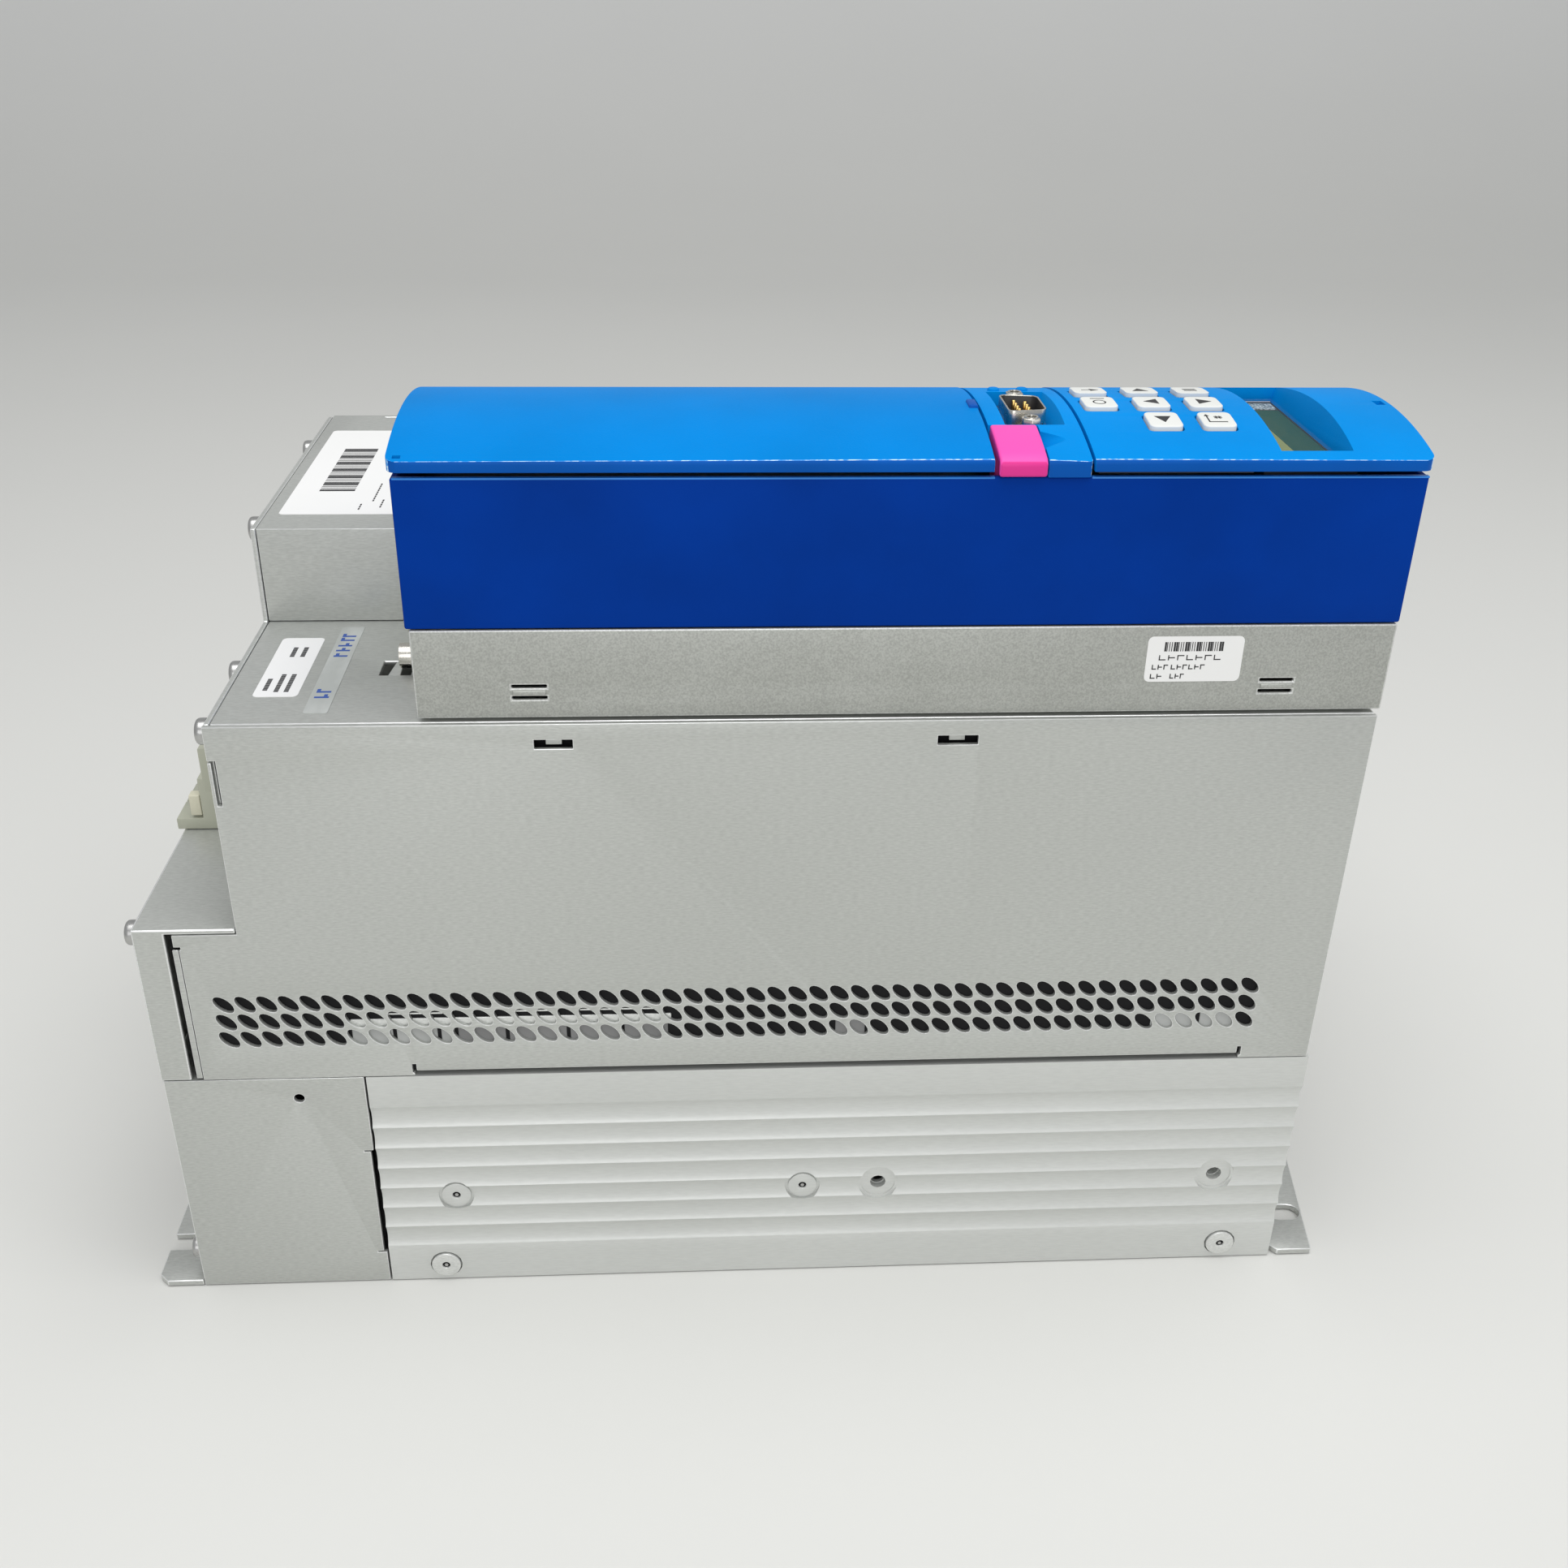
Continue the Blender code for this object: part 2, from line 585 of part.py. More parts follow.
def vents():
    """Rows of slanted oval holes, as (X, Z) rings."""
    holes = []
    for column in range(VENT_COLUMNS):
        for row in range(VENT_ROWS):
            x = X_LOW + VENT_FIRST_X + column * VENT_PITCH_X
            z = Z_SINK + VENT_FIRST_Z + row * VENT_PITCH_Z
            ring = []
            for corner in range(VENT_SIDES):
                angle = 2 * pi * corner / VENT_SIDES
                a = VENT_LONG / 2 * cos(angle)
                b = VENT_SHORT / 2 * sin(angle)
                ring.append(
                    (
                        x + a * cos(VENT_TILT) - b * sin(VENT_TILT),
                        z + a * sin(VENT_TILT) + b * cos(VENT_TILT),
                    )
                )
            holes.append(ring)
    return holes


def panel_outline(top):
    """Side panel: stepped at the lower end, with a rebate along the heat sink."""
    step = X_LOW + 0.0106
    return [
        (step, Z_PANEL),
        (X_LOW + 0.0742, Z_PANEL),
        (X_LOW + 0.0742, Z_PANEL + 0.0018),
        (X_HIGH - 0.0225, Z_PANEL + 0.0018),
        (X_HIGH - 0.0225, Z_PANEL),
        (X_PANEL_END, Z_PANEL),
        (X_PANEL_END, top),
        (X_FACE, top),
        (X_FACE, Z_STEP - SHEET - GAP),
        (step, Z_STEP - SHEET - GAP),
    ]


def make_side_panels():
    holes = vents()
    for low, high in LATCH_WINDOWS:
        window = (X_LOW + low, X_LOW + high)
        holes.append(rectangle(window, (Z_DECK - 0.0075, Z_DECK - 0.0047)))
    slot = (X_FACE + 0.0010, X_FACE + 0.0022)
    holes.append(rectangle(slot, (Z_DECK - 0.0238, Z_DECK - 0.0100)))
    span = (Y_NEAR, Y_NEAR + SHEET)
    plate("side_panel_near", panel_outline(Z_DECK), "Y", span, ZINC, holes)
    span = (Y_FAR - SHEET, Y_FAR)
    top = Z_OPTION - SHEET - GAP
    plate("side_panel_far", panel_outline(top), "Y", span, ZINC, vents())


def make_terminal_cover():
    """Bent cover of the terminal step: end face, top and a flange on each side."""
    end = X_FACE - GAP
    cover = box(
        "terminal_cover", (X_LOW - 0.0005, end), (Y_NEAR, Y_FAR), (Z_PANEL, Z_STEP), ZINC
    )
    inside = (X_LOW - 0.0005 + SHEET, end + SHEET)
    cut_box(
        cover,
        "terminal_cover_inside",
        inside,
        (Y_NEAR + SHEET, Y_FAR - SHEET),
        (Z_PANEL - SHEET, Z_STEP - SHEET),
    )
    flange = X_LOW + 0.0085
    for side, y_range in (
        ("near", (Y_NEAR - SHEET, Y_NEAR + SHEET + GAP)),
        ("far", (Y_FAR - SHEET - GAP, Y_FAR + SHEET)),
    ):
        z_range = (Z_PANEL - SHEET, Z_STEP - SHEET)
        cut_box(cover, f"terminal_flange_{side}", (flange, end + SHEET), y_range, z_range)
    for number in range(3):
        y = Y_NEAR + 0.045 + number * (BODY_WIDTH - 0.090) / 2
        z_range = (Z_PANEL + 0.014, Z_PANEL + 0.038)
        name = f"cable_window_{number}"
        cut_box(cover, name, (X_LOW - 0.003, X_LOW + 0.003), (y - 0.018, y + 0.018), z_range)


TERMINAL_Y = (Y_NEAR + 0.0572, Y_FAR - 0.0310)
ENCODER_PLACE = (Y_NEAR + 0.0258, Z_DECK - 0.0190)
Z_OPTION_BOARD = Z_OPTION - OPTION_BOARD_DROP
OPTION_BLOCK_Y = (Y_OPTION + 0.0150, Y_OPTION + 0.0150 + OPTION_BLOCK_LENGTH)
OPTION_BLOCK_Z = (
    Z_OPTION_BOARD + BOARD + GAP,
    Z_OPTION_BOARD + BOARD + GAP + OPTION_BLOCK_TALL,
)


def around(span, room):
    """The span with some room at both ends."""
    return (span[0] - room, span[1] + room)


def make_end_plates():
    """Flat plates that close the two ends of the power housing."""
    near = Y_NEAR + SHEET + GAP
    far = Y_FAR - SHEET - GAP
    option_top = Z_OPTION
    low = Z_STEP + GAP
    outline = [
        (near, low),
        (far, low),
        (far, option_top),
        (Y_OPTION, option_top),
        (Y_OPTION, Z_DECK),
        (near, Z_DECK),
    ]
    encoder_y, encoder_z = ENCODER_PLACE
    half = (ENCODER_WIDTH / 2 + BLOCK_CLEARANCE, ENCODER_TALL / 2 + BLOCK_CLEARANCE)
    encoder = rectangle(
        (encoder_y - half[0], encoder_y + half[0]), (encoder_z - half[1], encoder_z + half[1])
    )
    option = rectangle(
        around(OPTION_BLOCK_Y, BLOCK_CLEARANCE), around(OPTION_BLOCK_Z, BLOCK_CLEARANCE)
    )
    span = (X_FACE, X_FACE + SHEET)
    plate("lower_end_plate", outline, "X", span, ZINC, (encoder, option))
    outline = [
        (near, Z_PANEL),
        (far, Z_PANEL),
        (far, option_top - SHEET - GAP),
        (Y_OPTION + SHEET + GAP, option_top - SHEET - GAP),
        (Y_OPTION + SHEET + GAP, Z_DECK - SHEET - GAP),
        (near, Z_DECK - SHEET - GAP),
    ]
    holes = []
    for number in range(9):
        y = Y_NEAR + 0.024 + number * (BODY_WIDTH - 0.048) / 8
        holes.append(rectangle((y - 0.0065, y + 0.0065), (Z_PANEL + 0.060, Z_PANEL + 0.066)))
        holes.append(rectangle((y - 0.0065, y + 0.0065), (Z_PANEL + 0.072, Z_PANEL + 0.078)))
    span = (X_PANEL_END - SHEET, X_PANEL_END)
    plate("upper_end_plate", outline, "X", span, ZINC, holes)


def make_connection_cover():
    """Deck of the power housing under the control unit, with a notch for the side socket."""
    start = X_FACE + SHEET + GAP
    near = Y_NEAR + SHEET + GAP
    notch = (X_LOW + 0.0700, X_LOW + 0.0788)
    outline = rectangle((start, X_PANEL_END), (near, Y_OPTION + SHEET))
    hole = rectangle(notch, (Y_NEAR + 0.0328, Y_NEAR + 0.0426))
    plate("connection_cover", outline, "Z", (Z_DECK - SHEET, Z_DECK), ZINC, (hole,))


def make_option_cover():
    """Bent cover beside the control unit: a top and a wall down to the deck."""
    start = X_FACE + SHEET + GAP
    outline = [
        (Y_OPTION, Z_DECK + GAP),
        (Y_OPTION + SHEET, Z_DECK + GAP),
        (Y_OPTION + SHEET, Z_OPTION - SHEET),
        (Y_FAR, Z_OPTION - SHEET),
        (Y_FAR, Z_OPTION),
        (Y_OPTION, Z_OPTION),
    ]
    plate("option_cover", outline, "X", (start, X_PANEL_END), ZINC)


# ---------------------------------------------------------------- control unit
def make_control_base():
    """Grey tray under the blue housing, open at the top and at its lower end."""
    x_range = (X_CONTROL + 0.0010, X_CONTROL_END - 0.0005)
    y_range = (Y_CONTROL - 0.0003, Y_CONTROL_END)
    z_low = Z_DECK + GAP
    base = box("control_base", x_range, y_range, (z_low, Z_BASE), WARM_GREY)
    inside_y = (y_range[0] + SHEET, y_range[1] - SHEET)
    inside = (x_range[0] + SHEET, x_range[1] - SHEET)
    cut_box(base, "base_inside", inside, inside_y, (z_low + SHEET, Z_BASE + SHEET))
    mouth = (x_range[0] - SHEET, x_range[0] + 2 * SHEET)
    mouth_y = (inside_y[0] + 0.018, inside_y[1] - 0.004)
    cut_box(base, "base_mouth", mouth, mouth_y, (z_low + SHEET, Z_BASE - 0.004))
    for end, x in (("lower", x_range[0] + 0.0302), ("upper", x_range[1] - 0.0305)):
        for number, drop in enumerate((0.0161, 0.0194)):
            z = Z_BASE - drop
            slot_y = (y_range[0] - SHEET, y_range[0] + 2 * SHEET)
            name = f"base_slot_{end}_{number}"
            cut_box(base, name, (x - 0.0047, x + 0.0047), slot_y, (z - 0.0005, z + 0.0005))


def make_control_housing():
    """Blue moulded walls round the control board, open at the top and the bottom."""
    x_range = (X_CONTROL, X_CONTROL_END)
    y_range = (Y_CONTROL, Y_CONTROL_END)
    housing = box("control_housing", x_range, y_range, (Z_BASE + GAP, Z_HOUSING), DEEP_BLUE)
    inside = (x_range[0] + PLASTIC, x_range[1] - PLASTIC)
    inside_y = (y_range[0] + PLASTIC, y_range[1] - PLASTIC)
    cut_box(housing, "housing_inside", inside, inside_y, (Z_BASE - PLASTIC, Z_HOUSING + PLASTIC))


def crown_section(inset=0.0, foot=Z_LIP):
    """Section of the covers across Y, or of the space that lies inset inside them."""
    half = COVER_HALF - inset
    radius = CROWN_RADIUS - inset
    spread = asin(half / radius)
    centre = (Y_MIDDLE, Z_CREST - CROWN_RADIUS)
    points = arc(centre, radius, pi / 2 + spread, pi / 2 - spread, CROWN_SEGMENTS)
    return [(Y_MIDDLE - half, foot), *points, (Y_MIDDLE + half, foot)]


def hollow_cover(cover, span):
    """Hollows a crowned cover over a span of X, leaving its moulded wall."""
    section = crown_section(PLASTIC, Z_LIP - PLASTIC)
    name = f"{cover.name}_inside_{len(cover.modifiers)}"
    cut(cover, plate(name, section, "X", span, BLACK))


def make_front_cover():
    """Long cover that swings up about its hooks at the lower end."""
    cover = plate("front_cover", crown_section(), "X", (X_COVER, X_COVER_END), BRIGHT_BLUE)
    hollow_cover(cover, (X_COVER + PLASTIC, X_COVER_END + PLASTIC))
    hinge = bpy.data.objects.new("front_cover_hinge", None)
    hinge.location = HINGE
    PARTS.objects.link(hinge)
    bpy.context.view_layer.update()
    cover.parent = hinge
    cover.matrix_parent_inverse = hinge.matrix_world.inverted()


HINGE = (X_COVER + 0.0012, Y_MIDDLE, Z_LIP + 0.0006)
Y_EDGE = Y_MIDDLE - COVER_HALF
Y_MODULE_END = Y_EDGE + MODULE_REACH
CONNECTOR_Y = Y_MODULE_END + 2 * RECESS_CLEARANCE + CONNECTOR_LENGTH / 2
CONNECTOR_X = X_BRIDGE + RECESS_START_X + CONNECTOR_OFFSET
RECESS_Z = Z_LIP + RECESS_FLOOR


def make_bridge():
    """Fixed piece between the covers, with the connector's recess and the module's slot."""
    span = (X_BRIDGE, X_BRIDGE + BRIDGE_LENGTH)
    bridge = plate("bridge_cover", crown_section(), "X", span, BRIGHT_BLUE)
    far = CONNECTOR_Y + CONNECTOR_LENGTH / 2 + RECESS_CLEARANCE
    near = CONNECTOR_Y - CONNECTOR_LENGTH / 2 - RECESS_CLEARANCE
    start = X_BRIDGE + RECESS_START_X
    recess = (start, start + RECESS_LENGTH_X)
    cut_box(bridge, "connector_recess", recess, (near, far), (RECESS_Z, Z_CREST + PLASTIC))
    through_x = (CONNECTOR_X - OPENING_HALF_X, CONNECTOR_X + OPENING_HALF_X)
    through_y = (CONNECTOR_Y - OPENING_HALF_Y, CONNECTOR_Y + OPENING_HALF_Y)
    through_z = (Z_LIP - PLASTIC, RECESS_Z + PLASTIC)
    cut_box(bridge, "connector_opening", through_x, through_y, through_z)
    slot = (X_BRIDGE - PLASTIC, X_BRIDGE + MODULE_LENGTH + 2 * MODULE_CLEARANCE)
    slot_y = (Y_EDGE - PLASTIC, Y_MODULE_END)
    cut_box(bridge, "module_slot", slot, slot_y, (Z_LIP - PLASTIC, Z_CREST + PLASTIC))


def make_keypad_cover():
    """Fixed cover with the key holes and the display opening."""
    cover = plate("keypad_cover", crown_section(), "X", (X_KEYPAD, X_KEYPAD_END), BRIGHT_BLUE)
    hollow_cover(cover, (X_KEYPAD - PLASTIC, DISPLAY_X[0] - PLASTIC))
    hollow_cover(cover, (DISPLAY_X[1] + PLASTIC, X_KEYPAD_END - PLASTIC))
    for key, (x, y) in KEY_PLACES.items():
        half_x = KEY_LENGTH / 2 + KEY_CLEARANCE
        half_y = KEY_WIDTH / 2 + KEY_CLEARANCE
        cut_box(
            cover,
            key + "_hole",
            (x - half_x, x + half_x),
            (y - half_y, y + half_y),
            (Z_LIP, Z_CREST + PLASTIC),
        )
    opening = rectangle(DISPLAY_X, DISPLAY_Y)
    span = (Z_LIP - PLASTIC, Z_CREST + PLASTIC)
    cut(cover, plate("display_opening", opening, "Z", span, BLACK))


KEY_LAYOUT = {
    "key_function": (0, 2),
    "key_local": (0, 1),
    "key_left": (1, 2),
    "key_down": (1, 1),
    "key_right": (1, 0),
    "key_escape": (2, 2),
    "key_up": (2, 1),
    "key_enter": (2, 0),
}
KEY_PLACES = {
    name: (
        X_KEYPAD + KEY_FIRST_X + column * KEY_PITCH_X,
        Y_EDGE + KEY_FIRST_Y + row * KEY_PITCH_Y,
    )
    for name, (column, row) in KEY_LAYOUT.items()
}
DISPLAY_X = (X_KEYPAD + DISPLAY_START, X_KEYPAD + DISPLAY_START + DISPLAY_LENGTH)
DISPLAY_Y = (Y_EDGE + DISPLAY_MARGIN, Y_MIDDLE + COVER_HALF - DISPLAY_MARGIN)
Z_WINDOW = Z_EDGE - WINDOW_DEPTH
MAT_THICK = 0.0012
Z_MAT = Z_HOUSING + GAP
Z_KEY_FOOT = Z_MAT + MAT_THICK + KEY_TRAVEL + GAP


def make_keys():
    """Eight push keys, each with its origin on its own sliding axis."""
    for name, (x, y) in KEY_PLACES.items():
        top = crown_height(y) + KEY_PROUD
        half_x = KEY_LENGTH / 2
        half_y = KEY_WIDTH / 2
        key = box(name, (x - half_x, x + half_x), (y - half_y, y + half_y), (Z_KEY_FOOT, top), WHITE)
        bm = bmesh.new()
        bm.from_mesh(key.data)
        upright = [edge for edge in bm.edges if edge.verts[0].co.xy == edge.verts[1].co.xy]
        bmesh.ops.bevel(
            bm, geom=upright, offset=KEY_ROUND, segments=1, affect="EDGES", profile=0.5
        )
        bm.to_mesh(key.data)
        bm.free()


def make_key_mat():
    """Rubber mat that springs the keys back, lying on the housing's rim."""
    xs = [x for x, y in KEY_PLACES.values()]
    x_range = (min(xs) - MAT_MARGIN, max(xs) + MAT_MARGIN)
    y_range = (Y_EDGE + PLASTIC + GAP, Y_MIDDLE + COVER_HALF - PLASTIC - GAP)
    box("key_mat", x_range, y_range, (Z_MAT, Z_MAT + MAT_THICK), RUBBER)


def make_display():
    """Window in the display opening and the display module under it."""
    x_range = (DISPLAY_X[0] + GAP, DISPLAY_X[1] - GAP)
    y_range = (DISPLAY_Y[0] + GAP, DISPLAY_Y[1] - GAP)
    box("display_window", x_range, y_range, (Z_WINDOW - WINDOW_THICK, Z_WINDOW), WINDOW)
    below = Z_WINDOW - WINDOW_THICK - GAP
    inner = (DISPLAY_Y[0] + DISPLAY_INSET, DISPLAY_Y[1] - DISPLAY_INSET)
    module = (DISPLAY_X[0] - DISPLAY_REACH, DISPLAY_X[1] + DISPLAY_REACH)
    box("display_module", module, inner, (Z_BOARD_TOP + GAP, below), LCD)


def d_outline(half_length, half_width, lean):
    """The D shape of the connector as (X, Y) points round its middle."""
    corner = 0.0012
    x, y = half_width, half_length
    shape = [
        (-x, y - corner),
        (-x, -y + corner),
        (-x + corner, -y),
        (x - corner, -y + lean),
        (x, -y + lean + corner),
        (x, y - lean - corner),
        (x - corner, y - lean),
        (-x + corner, y),
    ]
    return [(CONNECTOR_X + a, CONNECTOR_Y + b) for a, b in shape]


def make_serial_connector():
    """Nine-pin connector: steel shell with its flange, insert with pins and two jack nuts."""
    low = RECESS_Z + GAP
    thick = 0.0008
    top = low + CONNECTOR_TALL
    wall = 0.0005
    outer = d_outline(0.0085, 0.0042, 0.0014)
    inner = d_outline(0.0085 - wall, 0.0042 - wall, 0.0014)
    half_x = CONNECTOR_WIDTH / 2
    half_y = CONNECTOR_LENGTH / 2
    edge = rectangle(
        (CONNECTOR_X - half_x, CONNECTOR_X + half_x),
        (CONNECTOR_Y - half_y, CONNECTOR_Y + half_y),
    )
    shell = plate("serial_connector_shell", outer, "Z", (low, top), STEEL, (inner,))
    join(shell, plate("connector_flange", edge, "Z", (low, low + thick), STEEL, (inner,)))
    body = d_outline(0.0085 - wall - GAP, 0.0042 - wall - GAP, 0.0014)
    span = (Z_BOARD_TOP + GAP, low + 0.0022)
    insert = plate("serial_connector_insert", body, "Z", span, BLACK)
    for row, count in ((-1, 5), (1, 4)):
        for number in range(count):
            x = CONNECTOR_X + row * 0.00142
            y = CONNECTOR_Y + (number - (count - 1) / 2) * 0.00277
            pin_z = low + 0.0030
            name = f"pin_{row}_{number}"
            join(insert, cylinder(name, (x, y, pin_z), "Z", 0.0005, 0.0036, STEEL, 6))
    for side, sign in (("near", -1), ("far", 1)):
        y = CONNECTOR_Y + sign * CONNECTOR_SPACING / 2
        hexagon = arc((CONNECTOR_X, y), 0.0026, 0, 2 * pi * 5 / 6, 5)
        hole = arc((CONNECTOR_X, y), 0.0013, 0, 2 * pi * 7 / 8, 7)
        nut_z = (low + thick + GAP, low + thick + GAP + 0.0042)
        plate(f"jack_nut_{side}", hexagon, "Z", nut_z, STEEL, (hole,))


def make_memory_module():
    """Plug-in module: a cap over the crown with a front lip, and a tongue reaching down."""
    start = X_BRIDGE + MODULE_CLEARANCE
    far = Y_MODULE_END - MODULE_CLEARANCE
    front = Y_EDGE - 0.0005
    centre = (Y_MIDDLE, Z_CREST - CROWN_RADIUS)
    radius = CROWN_RADIUS + MODULE_PROUD
    bend = 0.0012
    start_angle = pi / 2 + asin((Y_MIDDLE - front - bend) / radius)
    stop_angle = pi / 2 + asin((Y_MIDDLE - far) / radius)
    top = arc(centre, radius, start_angle, stop_angle, 5)
    inner_front = front + MODULE_WALL
    foot = Z_EDGE - MODULE_DROP
    tongue = (far - 0.0110, far - 0.0040)
    under = crown_height(Y_EDGE) - 0.0012
    outline = [(front, foot), (front, top[0][1] - bend), *top, (far, under)]
    plug = Z_BOARD_TOP + GAP
    outline += [(tongue[1], under), (tongue[1], plug), (tongue[0], plug), (tongue[0], under)]
    outline += [(inner_front, under), (inner_front, foot)]
    plate("memory_module", outline, "X", (start, start + MODULE_LENGTH), PINK)


# ---------------------------------------------------------------- electronics
def make_power_stage():
    """Power module on the heat sink, its board over it, and the bus capacitors."""
    length, width, tall = POWER_MODULE_SIZE
    x = X_LOW + 0.205
    low = Z_SINK + GAP
    x_range = (x - length / 2, x + length / 2)
    box("power_module", x_range, (-width / 2, width / 2), (low, low + tall), BLACK)
    board_x = (X_LOW + 0.040, X_PANEL_END - SHEET - 0.004)
    board_y = (Y_NEAR + SHEET + GAP, Y_FAR - SHEET - GAP)
    board_z = low + tall + GAP
    box("power_board", board_x, board_y, (board_z, board_z + BOARD), GREEN)
    foot = board_z + BOARD + GAP
    for number in range(CAPACITOR_COUNT):
        place = X_LOW + CAPACITOR_FIRST + number * CAPACITOR_PITCH
        centre = (place, Y_NEAR + 0.040, foot + CAPACITOR_TALL / 2)
        name = f"bus_capacitor_{number + 1}"
        cylinder(name, centre, "Z", CAPACITOR_RADIUS, CAPACITOR_TALL, SLEEVE, 20)


def make_boards():
    """Control board in the blue housing and option board under its cover."""
    x_range = (X_CONTROL + PLASTIC + GAP, X_CONTROL_END - PLASTIC - GAP)
    y_range = (Y_CONTROL + PLASTIC + GAP, Y_CONTROL_END - PLASTIC - GAP)
    z = Z_HOUSING - CONTROL_BOARD_DEPTH
    box("control_board", x_range, y_range, (z, z + BOARD), GREEN)
    start = X_FACE + SHEET + GAP
    x_range = (start, start + OPTION_BOARD_LENGTH)
    y_range = (Y_OPTION + SHEET + GAP, Y_FAR - SHEET - GAP)
    box("option_board", x_range, y_range, (Z_OPTION_BOARD, Z_OPTION_BOARD + BOARD), GREEN)


def make_terminals():
    """Power terminal block on the step and the round socket beside the control base."""
    x_start = X_LOW - 0.0024
    outline = [
        (x_start, Z_STEP + GAP),
        (X_FACE - GAP, Z_STEP + GAP),
        (X_FACE - GAP, Z_STEP + 0.0180),
        (X_LOW + 0.0059, Z_STEP + 0.0180),
        (X_LOW + 0.0059, Z_STEP + 0.0040),
        (x_start, Z_STEP + 0.0040),
    ]
    plate("power_terminal_block", outline, "Y", TERMINAL_Y, BEIGE)
    floor = Z_DECK + 2 * GAP + SHEET
    x_range = (X_CONTROL - SIGNAL_REACH, X_CONTROL + 0.0050)
    y_range = (Y_NEAR + 0.0450, Y_NEAR + 0.0450 + SIGNAL_LENGTH)
    box("signal_terminal_block", x_range, y_range, (floor, floor + SIGNAL_TALL), BEIGE)
    radius = 0.0036
    centre = (X_CONTROL - 0.0041, Y_NEAR + 0.0376, Z_DECK + GAP + radius)
    socket = cylinder("socket_screw", centre, "X", radius, 0.0090, STEEL, 12)
    cut_box(
        socket,
        "socket_screw_slot",
        (centre[0] - 0.006, centre[0] - 0.0035),
        (centre[1] - 0.0006, centre[1] + 0.0006),
        (Z_DECK, Z_DECK + 0.010),
    )
    x_range = (X_FACE - ENCODER_REACH, X_FACE + 0.0100)
    y, z = ENCODER_PLACE
    half_y, half_z = ENCODER_WIDTH / 2, ENCODER_TALL / 2
    z_range = (z - half_z, z + half_z)
    box("encoder_terminal_block", x_range, (y - half_y, y + half_y), z_range, BEIGE)
    x_range = (X_FACE - OPTION_REACH, X_FACE + 0.0100)
    box("option_terminal_block", x_range, OPTION_BLOCK_Y, OPTION_BLOCK_Z, BEIGE)


END_SCREWS = [
    (X_FACE, Y_NEAR + 0.0065, Z_DECK - 0.0042),
    (X_FACE, Y_NEAR + 0.0440, Z_DECK - 0.0042),
    (X_FACE, Y_OPTION + 0.0124, Z_OPTION - 0.0042),
    (X_FACE, Y_FAR - 0.0300, Z_OPTION - 0.0042),
    (X_LOW - 0.0005, Y_NEAR + 0.0062, Z_STEP - 0.0044),
    (X_LOW, Y_NEAR + 0.0062, 0.0110),
]


def make_end_screws():
    """Pan head screws on the lower end faces."""
    for number, (x, y, z) in enumerate(END_SCREWS, start=1):
        name = f"end_screw_{number}"
        centre = (x - GAP - SCREW_HEAD_TALL / 2, y, z)
        tip = SCREW_HEAD * 0.72
        screw = cylinder(
            name, centre, "X", tip, SCREW_HEAD_TALL, STEEL, 14, SCREW_HEAD
        )
        outer = centre[0] - SCREW_HEAD_TALL / 2
        slot_x = (outer - 0.001, outer + 0.0010)
        cut_box(screw, name + "_slot", slot_x, (y - 0.0005, y + 0.0005), (z - 0.004, z + 0.004))


make_back_plate()
make_heat_sink()
make_rivets()
make_fan_shroud()
for fan_side, fan_y in FAN_PLACES.items():
    make_fan(fan_side, fan_y)
    make_guard(fan_side, fan_y)
make_side_panels()
make_terminal_cover()
make_end_plates()
make_connection_cover()
make_option_cover()
make_control_base()
make_control_housing()
make_front_cover()
make_bridge()
make_keypad_cover()
make_keys()
make_key_mat()
make_display()
make_serial_connector()
make_memory_module()
make_power_stage()
make_boards()
make_terminals()
make_end_screws()
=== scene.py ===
# %% [markdown]
# # A variable frequency drive, dressed for its portrait
# The measured model of the drive is already there: every bracket, cover, key and fan has its
# true size and place. This notebook gives it the look of the real thing. Each step says what
# the piece is, how it could be made, and why it is made this way here. Lengths are in metres,
# X runs along the drive from its terminals to its display, -Y faces us, and +Z is up.

# %% Load the measured model
from math import atan2, cos, pi, radians, sin, sqrt

import bpy
from mathutils import Matrix, Vector


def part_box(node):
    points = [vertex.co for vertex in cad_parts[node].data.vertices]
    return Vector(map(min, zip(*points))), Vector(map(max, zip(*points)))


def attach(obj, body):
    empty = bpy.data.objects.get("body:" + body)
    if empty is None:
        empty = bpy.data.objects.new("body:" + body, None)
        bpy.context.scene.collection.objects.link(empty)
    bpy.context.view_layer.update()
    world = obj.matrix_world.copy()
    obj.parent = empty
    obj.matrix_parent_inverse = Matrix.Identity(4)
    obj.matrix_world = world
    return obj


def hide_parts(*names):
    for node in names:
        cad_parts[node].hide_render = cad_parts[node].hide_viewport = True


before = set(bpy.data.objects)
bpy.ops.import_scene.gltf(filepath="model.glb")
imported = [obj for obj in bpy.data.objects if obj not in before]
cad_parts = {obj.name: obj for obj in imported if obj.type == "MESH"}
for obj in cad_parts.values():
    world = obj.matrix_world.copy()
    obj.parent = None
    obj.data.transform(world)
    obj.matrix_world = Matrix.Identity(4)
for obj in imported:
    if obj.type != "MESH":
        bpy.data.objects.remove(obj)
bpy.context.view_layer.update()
MM = 0.001

# %% [markdown]
# ## The camera
# A product portrait looks from a little above and in front, close enough that the sides
# converge. The camera is turned by three angles: yaw to the side, pitch down, and a slight
# roll. Its axes could be set with Euler angles, but writing out where "right", "down" and
# "forward" point keeps the three turns easy to follow.

